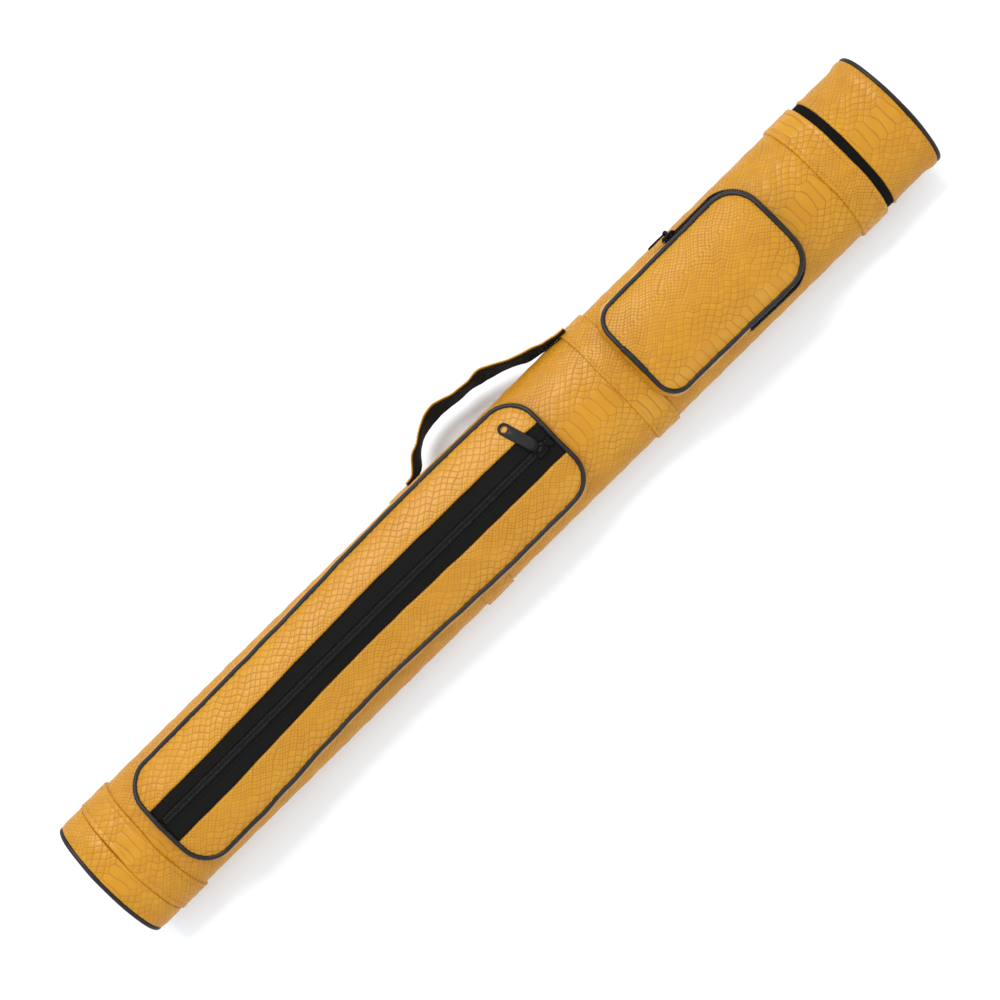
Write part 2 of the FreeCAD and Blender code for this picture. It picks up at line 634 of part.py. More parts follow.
def cap_parts():
    """The pull-off cap, which slides over the neck."""
    parts = {}
    parts["cap_shell"] = oval_ring(CAP_MOUTH_X, CAP_END_X, SHELL, CAP_INSIDE)
    piping_x = TOP_X - END_PIPING_LENGTH
    parts["cap_cover"] = oval_ring(CAP_MOUTH_X, piping_x, COVER, SHELL)
    parts["cap_end_plate"] = oval(CAP_END_X - END_PLATE, CAP_END_X, CAP_INSIDE)
    pad_x = CAP_END_X - END_PLATE - CAP_PAD
    parts["cap_pad"] = oval(pad_x, CAP_END_X - END_PLATE, CAP_INSIDE)
    parts["cap_end_cover"] = oval(CAP_END_X, TOP_X, SHELL)
    parts["cap_piping"] = oval_ring(piping_x, TOP_X, grown(COVER, END_PIPING_PROUD), SHELL)
    return parts


def all_parts():
    """Every node of the case."""
    parts = body_parts()
    parts.update(band_parts())
    parts.update(main_pocket_parts())
    parts.update(small_pocket_parts())
    parts.update(slider_parts())
    parts.update(handle_parts())
    parts.update(cap_parts())
    return parts


def row_place(point):
    """A place about the tube axis, in metres from the object's origin."""
    moved = (point - BASE_CENTRE) / 1000
    return f"{moved.x:.5f}, {moved.y:.5f}, {moved.z:.5f}"


os.makedirs("parts", exist_ok=True)
print("tube axis:", row_place(CENTRE))
print("handle hinge:", row_place(V(STRAP_X, HANDLE_AXIS_Y, 0)))
print("main pull hinge:", row_place(main_slider_place() + V(0, 0, bar_height())))
print("side pull hinge:", row_place(side_slider_place() + V(0, bar_height(), 0)))
for node, shape in all_parts().items():
    shape.translate(BASE_CENTRE * -1)
    shape.exportStep(f"parts/{node}.step")
    solid_count = len(shape.Solids)
    print(f"{node}: {solid_count} solid(s), {shape.Volume / 1000:.2f} cm3, valid {shape.isValid()}")
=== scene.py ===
"""Looks of a hard oval cue case: embossed leatherette skins, pockets, zips, strap and cap.

Everything is in metres in the frame's own axes: +X runs from the bottom end to the cap, +Y to the
handle side and +Z out of the pocket side. Surfaces are whole numpy arrays on parametric grids.
"""

import logging
import math
from dataclasses import dataclass, field
from enum import Enum
from typing import Callable, Union

import bpy
import numpy as np
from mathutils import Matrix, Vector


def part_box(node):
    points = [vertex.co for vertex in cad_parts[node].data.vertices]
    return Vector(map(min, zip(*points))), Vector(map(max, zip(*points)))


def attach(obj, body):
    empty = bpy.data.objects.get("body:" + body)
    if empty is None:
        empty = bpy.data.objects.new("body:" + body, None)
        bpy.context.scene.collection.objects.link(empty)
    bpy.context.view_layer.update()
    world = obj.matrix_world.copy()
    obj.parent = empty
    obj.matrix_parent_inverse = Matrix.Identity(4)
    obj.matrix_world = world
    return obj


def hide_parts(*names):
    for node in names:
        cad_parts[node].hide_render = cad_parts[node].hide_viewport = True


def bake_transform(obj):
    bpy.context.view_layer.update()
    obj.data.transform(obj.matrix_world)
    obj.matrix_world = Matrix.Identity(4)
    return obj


LOG = logging.getLogger("cue_case")
MM = 0.001
TAU = 2 * math.pi
UP = np.array([0.0, 0.0, 1.0])

Array = np.ndarray
Piece = bpy.types.Object
Material = bpy.types.Material
Socket = bpy.types.NodeSocket
Number = Union["Value", float]

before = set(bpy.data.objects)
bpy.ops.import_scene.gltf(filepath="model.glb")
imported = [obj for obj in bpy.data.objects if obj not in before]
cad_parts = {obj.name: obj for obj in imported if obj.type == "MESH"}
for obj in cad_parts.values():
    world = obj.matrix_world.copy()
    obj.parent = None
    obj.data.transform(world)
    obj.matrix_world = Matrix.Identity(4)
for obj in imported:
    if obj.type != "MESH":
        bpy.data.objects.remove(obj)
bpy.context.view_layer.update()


# ---------------------------------------------------------------- shader maths


class Value:
    """A number that varies over a surface: a node socket, with arithmetic that adds Math nodes."""

    def __init__(self, graph: "Graph", socket: Socket) -> None:
        """Holds the socket and the graph that new nodes go into."""
        self.graph = graph
        self.socket = socket

    def math(self, operation: str, *others: Number, clamp: bool = False) -> "Value":
        """One Math node on this value.

        Args:
            operation: Blender's name of the operation.
            others: further operands, each a value or a number.
            clamp: whether the result is kept between 0 and 1.

        Returns:
            The node's result.
        """
        inputs = dict(enumerate((self, *others)))
        node = self.graph.node("ShaderNodeMath", {"operation": operation, "use_clamp": clamp}, inputs)
        return Value(self.graph, node.outputs[0])

    def __add__(self, other: Number) -> "Value":
        """Sum."""
        return self.math("ADD", other)

    __radd__ = __add__

    def __sub__(self, other: Number) -> "Value":
        """Difference."""
        return self.math("SUBTRACT", other)

    def __rsub__(self, other: float) -> "Value":
        """Difference from a number."""
        return (self * -1.0) + other

    def __mul__(self, other: Number) -> "Value":
        """Product."""
        return self.math("MULTIPLY", other)

    __rmul__ = __mul__

    def __truediv__(self, other: Number) -> "Value":
        """Quotient."""
        return self.math("DIVIDE", other)

    def sine(self) -> "Value":
        """Sine, of radians."""
        return self.math("SINE")

    def floor(self) -> "Value":
        """Whole number at or below."""
        return self.math("FLOOR")

    def absolute(self) -> "Value":
        """Size without sign."""
        return self.math("ABSOLUTE")

    def larger(self, other: Number) -> "Value":
        """The larger of two."""
        return self.math("MAXIMUM", other)

    def smaller(self, other: Number) -> "Value":
        """The smaller of two."""
        return self.math("MINIMUM", other)

    def step(self, low: float, high: float) -> "Value":
        """Smooth step.

        Args:
            low: where the step starts at 0.
            high: where it reaches 1.

        Returns:
            The stepped value.
        """
        node = self.graph.node(
            "ShaderNodeMapRange",
            {"interpolation_type": "SMOOTHSTEP"},
            {"Value": self, "From Min": low, "From Max": high},
        )
        return Value(self.graph, node.outputs["Result"])


class Graph:
    """A material's node tree."""

    def __init__(self, name: str) -> None:
        """Starts an empty material with one Principled shader.

        Args:
            name: the material's name.
        """
        self.material = bpy.data.materials.new(name)
        self.material.use_nodes = True
        self.tree = self.material.node_tree
        self.tree.nodes.clear()
        self.shader = self.node("ShaderNodeBsdfPrincipled", {}, {})
        output = self.node("ShaderNodeOutputMaterial", {}, {})
        self.tree.links.new(self.shader.outputs["BSDF"], output.inputs["Surface"])

    def node(self, kind: str, settings: dict, inputs: dict) -> bpy.types.Node:
        """Adds a node of any kind.

        Args:
            kind: the node's type name.
            settings: its own properties, set before its sockets.
            inputs: values or links of its sockets, by name or number.

        Returns:
            The new node.
        """
        node = self.tree.nodes.new(kind)
        for key, setting in settings.items():
            setattr(node, key, setting)
        for key, given in inputs.items():
            self.feed(node.inputs[key], given)
        return node

    def feed(self, socket: Socket, given: object) -> None:
        """Gives a socket a link, when it is a value or a socket, or else a constant."""
        if isinstance(given, Value):
            self.tree.links.new(given.socket, socket)
        elif isinstance(given, Socket):
            self.tree.links.new(given, socket)
        else:
            socket.default_value = given

    def surface(self, **inputs: object) -> None:
        """Feeds the Principled shader's sockets, whose names are given with _ for a space."""
        for key, given in inputs.items():
            self.feed(self.shader.inputs[key.replace("_", " ")], given)

    def uv(self) -> tuple[Value, Value]:
        """The piece's own surface coordinates, in metres: along and across."""
        coordinates = self.node("ShaderNodeUVMap", {"uv_map": "surface"}, {})
        parts = self.node("ShaderNodeSeparateXYZ", {}, {0: coordinates.outputs["UV"]})
        return Value(self, parts.outputs["X"]), Value(self, parts.outputs["Y"])

    def place(self) -> Socket:
        """The place in the object, in metres."""
        return self.node("ShaderNodeTexCoord", {}, {}).outputs["Object"]

    def noise(self, scale: float, detail: float, roughness: float = 0.5) -> Value:
        """Soft noise over the object, from 0 to 1, with the scale in waves a metre."""
        inputs = {"Vector": self.place(), "Scale": scale, "Detail": detail, "Roughness": roughness}
        return Value(self, self.node("ShaderNodeTexNoise", {}, inputs).outputs["Fac"])

    def mix(self, share: Number, low: object, high: object) -> Socket:
        """Colour between two colours.

        Args:
            share: 0 for the first colour, 1 for the second.
            low: the first colour, or a socket.
            high: the second colour, or a socket.

        Returns:
            The mixed colour's socket.
        """
        node = self.node("ShaderNodeMix", {"data_type": "RGBA"}, {0: share, 6: low, 7: high})
        return node.outputs[2]

    def bump(self, height: Value, distance: float, strength: float) -> Socket:
        """Fine relief as a normal, with the distance in metres."""
        inputs = {"Height": height, "Distance": distance, "Strength": strength}
        return self.node("ShaderNodeBump", {}, inputs).outputs["Normal"]


def linear(red: int, green: int, blue: int) -> tuple[float, float, float, float]:
    """A display colour of 0 to 255 as the renderer's linear one."""
    shares = [channel / 255 for channel in (red, green, blue)]
    parts = [share / 12.92 if share <= 0.04045 else ((share + 0.055) / 1.055) ** 2.4 for share in shares]
    return (*parts, 1.0)


# ---------------------------------------------------------------- finishes


@dataclass(frozen=True)
class SnakeEmboss:
    """Layout of the embossed snakeskin: broad belly scales with rows of small diamonds on both sides.

    All lengths are in metres. The same layout makes the relief in the mesh and the colour in the shader.
    """

    pitch: float = 8.1 * MM
    belly_half: float = 10.0 * MM
    side_slope: float = 1.30
    fine_from: float = 27 * MM
    fine_to: float = 38 * MM
    repeat: float = 124 * MM
    bow: float = 1.6 * MM
    groove_start: float = 0.70
    waves: tuple = (
        (0.9 * MM, 0.0, 37 * MM, 1.3),
        (0.6 * MM, 51 * MM, 43 * MM, 0.2),
        (0.45 * MM, 19 * MM, -23 * MM, 2.1),
    )
    cross_waves: tuple = (
        (1.2 * MM, 61 * MM, 0.0, 0.7),
        (0.8 * MM, 23 * MM, -31 * MM, 1.9),
        (0.35 * MM, -13 * MM, 17 * MM, 0.4),
    )

    def wander(self, waves: tuple, u: object, v: object, sine: object) -> object:
        """Sum of the waves that keep the rows from being ruled straight.

        Args:
            waves: size, length along, length across and phase of each wave; a length of 0 means none.
            u: place along the piece, as an array or a Value.
            v: place across the piece.
            sine: the function that takes the sine of either kind.

        Returns:
            The shift, of the same kind as u.
        """
        total = u * 0.0
        for size, along, across, phase in waves:
            turn = u * (TAU / along if along else 0.0) + v * (TAU / across if across else 0.0)
            total = total + sine(turn + phase) * size
        return total

    def rows(self, u: object, v: object, tools: "EmbossTools") -> tuple[object, object, object]:
        """The two families of rows that cross to make the scales, counted in scales.

        Args:
            u: place along the piece.
            v: place across the piece, from a belly line.
            tools: sine, absolute, floor, larger, smaller and step for arrays or for Values.

        Returns:
            The two row coordinates, where a groove lies at each whole number, and the share of fine scales.
        """
        along = u + self.wander(self.waves, u, v, tools.sine)
        across = v + self.wander(self.cross_waves, u, v, tools.sine)
        turns = across / self.repeat + 0.5
        out = tools.absolute((turns - tools.floor(turns) - 0.5) * self.repeat)
        inner = tools.smaller(out / self.belly_half, 1.0)
        along = along + (inner * inner) * self.bow
        side = tools.larger(out - self.belly_half, 0.0) * self.side_slope
        fine = tools.step(out, self.fine_from, self.fine_to)
        return (along + side) / self.pitch, (along - side) / self.pitch, fine

    def edge(self, first: object, second: object, fine: object, tools: "EmbossTools") -> object:
        """How near a groove a place is, 0 in the middle of a scale and 1 in a groove.

        Fine grooves halve the scales, and fade in with the share of fine scales.

        Args:
            first: first row coordinate.
            second: second row coordinate.
            fine: share of fine scales.
            tools: the functions for arrays or for Values.

        Returns:
            The nearness.
        """
        coarse = tools.larger(self.off(first, tools), self.off(second, tools))
        halved = tools.larger(self.off(first * 2.0, tools), self.off(second * 2.0, tools))
        return tools.larger(coarse, halved * fine)

    def off(self, row: object, tools: "EmbossTools") -> object:
        """Distance from the middle of a row, 0 to 1."""
        return tools.absolute(row - tools.floor(row) - 0.5) * 2.0

    def height(self, u: Array, v: Array) -> Array:
        """Relief from 0 in the grooves to 1 on the scales, as arrays."""
        first, second, fine = self.rows(u, v, ARRAY_TOOLS)
        edge = self.edge(first, second, fine, ARRAY_TOOLS)
        share = np.clip((edge - self.groove_start) / (1 - self.groove_start), 0, 1)
        crown = 0.25 * (1 - edge**2)
        return (1 - share * share * (3 - 2 * share)) * 0.75 + crown


@dataclass(frozen=True)
class EmbossTools:
    """The six functions that the emboss needs, for one kind of number."""

    sine: object
    absolute: object
    floor: object
    larger: object
    smaller: object
    step: object


def smooth_step(values: Array, low: float, high: float) -> Array:
    """Eased share from 0 at the low value to 1 at the high one."""
    share = np.clip((values - low) / (high - low), 0, 1)
    return share * share * (3 - 2 * share)


ARRAY_TOOLS = EmbossTools(np.sin, np.abs, np.floor, np.maximum, np.minimum, smooth_step)
SOCKET_TOOLS = EmbossTools(Value.sine, Value.absolute, Value.floor, Value.larger, Value.smaller, Value.step)
EMBOSS = SnakeEmboss()


@dataclass(frozen=True)
class Leatherette:
    """Glossy mustard leatherette, embossed as snakeskin, with painted shade darkening its grooves and
    painted highlights in pale patches.
    """

    scale_colour: tuple = linear(184, 130, 17)
    # painted highlight: the paler colour of the highlights on the scales
    highlight_colour: tuple = linear(192, 141, 40)
    deep_colour: tuple = linear(174, 117, 14)
    # painted shade: the colour that the grooves are darkened to
    groove_shade_colour: tuple = linear(133, 84, 13)
    roughness: float = 0.38
    coat: float = 0.05

    def make(self) -> Material:
        """Builds the material."""
        graph = Graph("leatherette")
        u, v = graph.uv()
        first, second, fine = EMBOSS.rows(u, v, SOCKET_TOOLS)
        edge = EMBOSS.edge(first, second, fine, SOCKET_TOOLS)
        groove = edge.step(0.80, 1.0)
        # painted shade in the grooves: how strongly they are darkened, less in some patches
        worn = graph.noise(30.0, 3.0).step(0.32, 0.66) * 0.4 + 0.32
        cell = graph.node("ShaderNodeCombineXYZ", {}, {0: first.floor(), 1: second.floor()})
        flat, inputs = {"noise_dimensions": "2D"}, {"Vector": cell.outputs[0]}
        tint = graph.node("ShaderNodeTexWhiteNoise", flat, inputs)
        tint = Value(graph, tint.outputs["Value"])
        cloud = graph.noise(9.0, 3.0)
        shade = (tint * 0.55 + cloud.step(0.3, 0.7) * 0.45).math("ADD", 0.0, clamp=True)
        colour = graph.mix(shade, self.deep_colour, self.scale_colour)
        # painted highlight: paler patches scattered by noise over the scales
        pale_highlight = graph.noise(38.0, 4.0).step(0.52, 0.80) * 0.35
        colour = graph.mix(pale_highlight, colour, self.highlight_colour)
        # painted shade laid into the grooves
        colour = graph.mix(groove * worn, colour, self.groove_shade_colour)
        grain = graph.noise(2600.0, 2.0, 0.6)
        wrinkle = graph.noise(520.0, 3.0, 0.55)
        relief = (1.0 - edge.step(0.72, 1.0)) + grain * 0.10 + wrinkle * 0.22
        roughness = groove * 0.25 + wrinkle * 0.16 + (self.roughness - 0.08)
        graph.surface(
            Base_Color=colour,
            Roughness=roughness,
            Normal=graph.bump(relief, 0.22 * MM, 0.6),
            Coat_Weight=self.coat,
            Coat_Roughness=0.28,
            Specular_IOR_Level=0.31,
        )
        return graph.material


@dataclass(frozen=True)
class Vinyl:
    """Charcoal vinyl over a cord."""

    colour: tuple = linear(22, 20, 20)
    worn: tuple = linear(40, 37, 36)
    roughness: float = 0.40

    def make(self) -> Material:
        """Builds the material."""
        graph = Graph("piping")
        u, v = graph.uv()
        rib = (u * (TAU / (1.1 * MM)) + v * (TAU / (2.3 * MM))).sine() * 0.5 + 0.5
        wear = graph.noise(240.0, 3.0).step(0.45, 0.75)
        grain = graph.noise(1900.0, 2.0)
        graph.surface(
            Base_Color=graph.mix(wear * 0.6, self.colour, self.worn),
            Roughness=wear * 0.14 + self.roughness,
            Normal=graph.bump(rib * 0.25 + grain * 0.6, 0.12 * MM, 0.6),
            Specular_IOR_Level=0.28,
        )
        return graph.material


class Weave(Enum):
    """How a woven band is made."""

    WEBBING = "webbing"
    TAPE = "zip_tape"


@dataclass(frozen=True)
class Woven:
    """Black woven cloth: heavy webbing or fine zip tape, told by its weave."""

    weave: Weave
    colour: tuple
    thread: tuple
    pitch: float
    roughness: float = 0.82

    def make(self) -> Material:
        """Builds the material: warp and weft threads that pass over each other in turn."""
        graph = Graph(self.weave.value)
        u, v = graph.uv()
        along = u * (TAU / self.pitch)
        across = v * (TAU / self.pitch)
        if self.weave is Weave.TAPE:
            along = along + across * 0.5
        warp = along.sine() * (across * 0.5).sine()
        weft = across.sine() * (along * 0.5).sine()
        thread = warp.larger(weft) * 0.5 + 0.5
        fuzz = graph.noise(1500.0, 3.0, 0.7)
        lint = graph.noise(90.0, 3.0).step(0.45, 0.8)
        share = (thread * 0.6 + fuzz * 0.35 + lint * 0.2).math("ADD", 0.0, clamp=True)
        graph.surface(
            Base_Color=graph.mix(share, self.colour, self.thread),
            Roughness=self.roughness - fuzz * 0.12,
            Normal=graph.bump(thread + fuzz * 0.5, 0.25 * MM, 0.8),
            Specular_IOR_Level=0.10,
        )
        return graph.material


@dataclass(frozen=True)
class Hard:
    """A hard finish, such as enamel, nylon or moulded plastic, with faint mottling and handling marks."""

    name: str
    colour: tuple
    marked: tuple
    roughness: float
    metallic: float = 0.0
    coat: float = 0.0
    relief: float = 0.02 * MM
    gloss: float = 0.35

    def make(self) -> Material:
        """Builds the material."""
        graph = Graph(self.name)
        marks = graph.noise(160.0, 4.0, 0.6).step(0.5, 0.78)
        fine = graph.noise(2300.0, 2.0)
        graph.surface(
            Base_Color=graph.mix(marks * 0.7, self.colour, self.marked),
            Roughness=marks * 0.16 + fine * 0.05 + self.roughness,
            Metallic=self.metallic,
            Coat_Weight=self.coat,
            Specular_IOR_Level=self.gloss,
            Normal=graph.bump(fine + marks * 0.3, self.relief, 0.5),
        )
        return graph.material


@dataclass(frozen=True)
class Thread:
    """Sewing thread, twisted."""

    colour: tuple = linear(214, 150, 52)
    shade: tuple = linear(150, 96, 34)

    def make(self) -> Material:
        """Builds the material."""
        graph = Graph("thread")
        u, v = graph.uv()
        twist = (u * (TAU / (0.55 * MM)) + v * (TAU / (2.0 * MM))).sine() * 0.5 + 0.5
        graph.surface(
            Base_Color=graph.mix(twist, self.shade, self.colour),
            Roughness=0.55,
            Normal=graph.bump(twist, 0.08 * MM, 0.8),
        )
        return graph.material


class Finishes:
    """Every material of the case, made once."""

    def __init__(self) -> None:
        """Builds the materials."""
        black, web = linear(8, 8, 8), linear(10, 9, 8)
        self.leatherette = Leatherette().make()
        self.piping = Vinyl().make()
        self.webbing = Woven(Weave.WEBBING, web, linear(26, 24, 22), 1.6 * MM).make()
        self.tape = Woven(Weave.TAPE, black, linear(20, 20, 19), 0.8 * MM).make()
        self.thread = Thread().make()
        self.coil = Hard("zip_coil", linear(6, 6, 6), linear(22, 22, 22), 0.24, gloss=0.40).make()
        self.enamel = Hard("black_enamel", linear(5, 5, 6), linear(14, 14, 15), 0.24, gloss=0.14).make()
        self.shell = Hard("shell_plastic", linear(22, 22, 23), linear(36, 36, 38), 0.5).make()
        self.neck = Hard("neck_plastic", linear(12, 12, 13), linear(24, 24, 25), 0.42, gloss=0.25).make()
        self.tube = Hard("tube_lining", linear(26, 26, 28), linear(42, 42, 44), 0.62).make()
        self.foam = Hard(
            "foam", linear(12, 12, 12), linear(24, 24, 24), 0.9, relief=0.4 * MM, gloss=0.1
        ).make()


# ---------------------------------------------------------------- arrays


def stacked(*parts: Array) -> Array:
    """Coordinates spread to one shape and put together along a last axis."""
    return np.stack(np.broadcast_arrays(*parts), axis=-1)


def crossed(first: Array, second: Array) -> tuple[Array, Array]:
    """Two coordinates spread over a grid, the first down it and the second across."""
    return np.meshgrid(first, second, indexing="ij")


def running(steps: Array) -> Array:
    """Running total of steps, from 0."""
    return np.concatenate([[0.0], np.cumsum(steps)])


def lengths_of(line: Array) -> Array:
    """How far along a line of points each of them lies."""
    return running(np.linalg.norm(np.diff(line, axis=0), axis=1))


def read_at(places: Array, walked: Array, table: Array) -> Array:
    """Columns of a table read at places along a line."""
    return np.stack([np.interp(places, walked, column) for column in table.T], axis=1)


def unit(rows: Array) -> Array:
    """Directions scaled to a length of 1."""
    return rows / np.linalg.norm(rows, axis=1)[:, None]


# ---------------------------------------------------------------- meshes


def faces_of(
    rows: int, cols: int, wrap_rows: bool, wrap_cols: bool
) -> tuple[Array, Array]:
    """Quads of a grid of points.

    Args:
        rows: points down the grid.
        cols: points across it.
        wrap_rows: whether the last row joins the first.
        wrap_cols: whether the last column joins the first.

    Returns:
        The faces as point numbers, and the row and column of each corner, unwrapped.
    """
    down, across = (rows if wrap_rows else rows - 1), (cols if wrap_cols else cols - 1)
    row, col = (part.ravel() for part in crossed(np.arange(down), np.arange(across)))
    corner_rows = stacked(row, row + 1, row + 1, row)
    corner_cols = stacked(col, col, col + 1, col + 1)
    faces = (corner_rows % rows) * cols + corner_cols % cols
    return faces, stacked(corner_rows, corner_cols)


def mesh_object(
    name: str,
    points: Array,
    faces: Array,
    corner_uv: Array,
    finish: Material,
    caps: tuple = (),
) -> Piece:
    """A smooth mesh object from arrays.

    Args:
        name: the piece's name.
        points: places of the points, in metres, of shape (count, 3).
        faces: quads, as point numbers.
        corner_uv: surface coordinates of each quad's corners, in metres, of shape (quads, 4, 2).
        finish: its material.
        caps: further faces that close its ends, as lists of point numbers.

    Returns:
        The new object, at the origin.
    """
    mesh = bpy.data.meshes.new(name)
    polygons = [*faces.tolist(), *[list(cap) for cap in caps]]
    mesh.from_pydata(points.reshape(-1, 3).tolist(), [], polygons)
    layer = mesh.uv_layers.new(name="surface")
    spare = sum(len(cap) for cap in caps)
    flat = np.concatenate([corner_uv.reshape(-1), np.zeros(spare * 2)])
    layer.data.foreach_set("uv", flat.astype(np.float32))
    mesh.polygons.foreach_set("use_smooth", np.ones(len(polygons), bool))
    mesh.materials.append(finish)
    mesh.validate()
    mesh.update()
    piece = bpy.data.objects.new(name, mesh)
    bpy.context.scene.collection.objects.link(piece)
    LOG.info("%s: %d faces", name, len(polygons))
    return piece


def grid_piece(
    name: str,
    points: Array,
    along: Array,
    across: Array,
    finish: Material,
    wrap_rows: bool = False,
    wrap_cols: bool = False,
    capped: bool = False,
    pole: bool = False,
    flip: bool = False,
) -> Piece:
    """A mesh piece from a grid of points.

    Args:
        name: the piece's name.
        points: places, of shape (rows, columns, 3).
        along: first surface coordinate, of the same rows and columns, and one more where it wraps.
        across: second surface coordinate, likewise.
        finish: its material.
        wrap_rows: whether the last row joins the first.
        wrap_cols: whether the last column joins the first.
        capped: whether the first and last rows are closed by flat ends.
        pole: whether only the first row is closed, as the middle of a disc.
        flip: whether the faces are turned over.

    Returns:
        The new object.
    """
    rows, cols = points.shape[:2]
    faces, corners = faces_of(rows, cols, wrap_rows, wrap_cols)
    row = np.minimum(corners[:, :, 0], along.shape[0] - 1)
    col = np.minimum(corners[:, :, 1], along.shape[1] - 1)
    uv = stacked(along[row, col], across[row, col])
    first, last = np.arange(cols), np.arange(cols)[::-1] + (rows - 1) * cols
    caps = (first, last) if capped else (first,) if pole else ()
    if flip:
        faces, uv = faces[:, ::-1], uv[:, ::-1]
        caps = tuple(cap[::-1] for cap in caps)
    return mesh_object(name, points, faces, uv, finish, caps)


def beads(
    name: str,
    centres: Array,
    axes: Array,
    sizes: tuple[float, float, float],
    finish: Material,
    power: float = 1.0,
    rings: int = 6,
    sides: int = 8,
) -> Piece:
    """Many small rounded beads, such as stitches or zip teeth, as one piece.

    Each bead is an ellipsoid whose poles lie on its first axis, squared off when the power is below 1.

    Args:
        name: the piece's name.
        centres: middle of each bead, of shape (count, 3).
        axes: three unit axes of each bead, of shape (count, 3, 3).
        sizes: half sizes along the three axes, in metres.
        finish: the beads' material.
        power: exponent of the profile; 1 is round.
        rings: points from pole to pole.
        sides: points round a bead.

    Returns:
        The new object.
    """
    flat_end = 0.12
    polar = np.linspace(flat_end, math.pi - flat_end, rings)[:, None]
    turn = np.arange(sides) * TAU / sides
    radial = np.sin(polar) ** power
    local = stacked(np.cos(polar), radial * np.cos(turn), radial * np.sin(turn)).reshape(-1, 3)
    local = local * np.array(sizes)
    points = centres[:, None, :] + np.einsum("pk,nkd->npd", local, axes)
    faces, corners = faces_of(rings, sides, False, True)
    starts = np.arange(len(centres)) * rings * sides
    every = (faces[None] + starts[:, None, None]).reshape(-1, 4)
    uv = corners * np.array([2 * sizes[0] / rings, 2 * sizes[1] / sides])
    uv = np.tile(uv, (len(centres), 1, 1))
    near = starts[:, None] + np.arange(sides)
    far = near[:, ::-1] + (rings - 1) * sides
    ends = np.concatenate([near, far])
    return mesh_object(name, points.reshape(-1, 3), every, uv, finish, tuple(ends))


def carry(
    name: str,
    path: Array,
    up: Array,
    section: Array,
    finish: Material,
    closed: bool = False,
    turned: Array | None = None,
) -> Piece:
    """A closed section carried along a path.

    At each point of the path the section lies square to it. Its first coordinate runs sideways, which is
    the cross product of ahead and up, and its second runs up.

    Args:
        name: the piece's name.
        path: points of the middle line, of shape (count, 3).
        up: rough upward direction, for all points or for each.
        section: points of the section, going from sideways towards up, of shape (sides, 2).
        finish: its material.
        closed: whether the path is a loop.
        turned: twist at each point, in radians.

    Returns:
        The new object.
    """
    ahead = np.roll(path, -1, axis=0) - np.roll(path, 1, axis=0)
    if not closed:
        ahead[0] = path[1] - path[0]
        ahead[-1] = path[-1] - path[-2]
    ahead = unit(ahead)
    side = unit(np.cross(ahead, np.broadcast_to(up, path.shape)))
    rise = np.cross(side, ahead)
    if turned is not None:
        cos, sin = np.cos(turned)[:, None], np.sin(turned)[:, None]
        side, rise = side * cos + rise * sin, rise * cos - side * sin
    wide, high = section[None, :, :1], section[None, :, 1:]
    points = path[:, None, :] + side[:, None, :] * wide + rise[:, None, :] * high
    length = lengths_of(np.concatenate([path, path[:1]]))[: len(path) + int(closed)]
    grid = crossed(length, lengths_of(np.concatenate([section, section[:1]])))
    return grid_piece(name, points, *grid, finish, closed, True, capped=not closed)


def powered(values: Array, power: float) -> Array:
    """Values raised to a power, with their signs kept."""
    return np.sign(values) * np.abs(values) ** power


def round_section(radius: float, sides: int = 14) -> Array:
    """A circle's points, in metres."""
    turn = np.arange(sides) * TAU / sides
    return stacked(np.cos(turn), np.sin(turn)) * radius


def strip_section(width: float, thickness: float, sides: int = 40) -> Array:
    """A strip's section: a superellipse, of power 7 across and 2.6 through, so its edges are round."""
    turn = np.arange(sides) * TAU / sides
    wide = powered(np.cos(turn), 2 / 7) * width / 2
    high = powered(np.sin(turn), 2 / 2.6) * thickness / 2
    return stacked(wide, high)


def thicken(piece: Piece, thickness: float) -> None:
    """Gives a sheet its thickness, inwards from its outer face, with its rim closed."""
    solid = piece.modifiers.new("thickness", "SOLIDIFY")
    solid.thickness, solid.offset = thickness, -1.0


def in_mm(*values: float) -> tuple[float, ...]:
    """Millimetres as metres."""
    return tuple(value * MM for value in values)


def hump(distance: Array, width: float) -> Array:
    """A bell curve of height 1 over a distance."""
    return np.exp(-((distance / width) ** 2))


def ripple(a: Array, b: Array | float, wave: float, phase: float = 0.0) -> Array:
    """Soft unevenness from -1 to 1: three crossing sines whose lengths don't divide each other."""
    turn = TAU / wave
    first = np.sin(a * turn + b * turn * 0.37 + phase)
    second = np.sin(a * turn * 1.73 - b * turn * 0.91 + 2.1 * phase + 1.0)
    third = np.sin(a * turn * 0.61 + b * turn * 1.47 + 0.7 * phase + 2.6)
    return (first + second * 0.7 + third * 0.8) / 2.5


def smooth_line(places: Array, knots: list, values: list) -> Array:
    """A smooth line through a few values.

    Each span between knots is eased by a half cosine, so the line is level at its knots.

    Args:
        places: where the line is wanted.
        knots: places of the values, rising.
        values: the values.

    Returns:
        The line at the places.
    """
    knots = np.asarray(knots, float)
    values = np.asarray(values, float)
    number = np.clip(np.searchsorted(knots, places) - 1, 0, len(knots) - 2)
    share = np.clip((places - knots[number]) / (knots[number + 1] - knots[number]), 0, 1)
    eased = 0.5 - 0.5 * np.cos(math.pi * share)
    return values[number] + (values[number + 1] - values[number]) * eased


def spread(start: float, end: float, step: float) -> Array:
    """Evenly spaced places from start to end, about a step apart."""
    return np.linspace(start, end, max(2, int(round(abs(end - start) / step)) + 1))


# ---------------------------------------------------------------- layout of the case


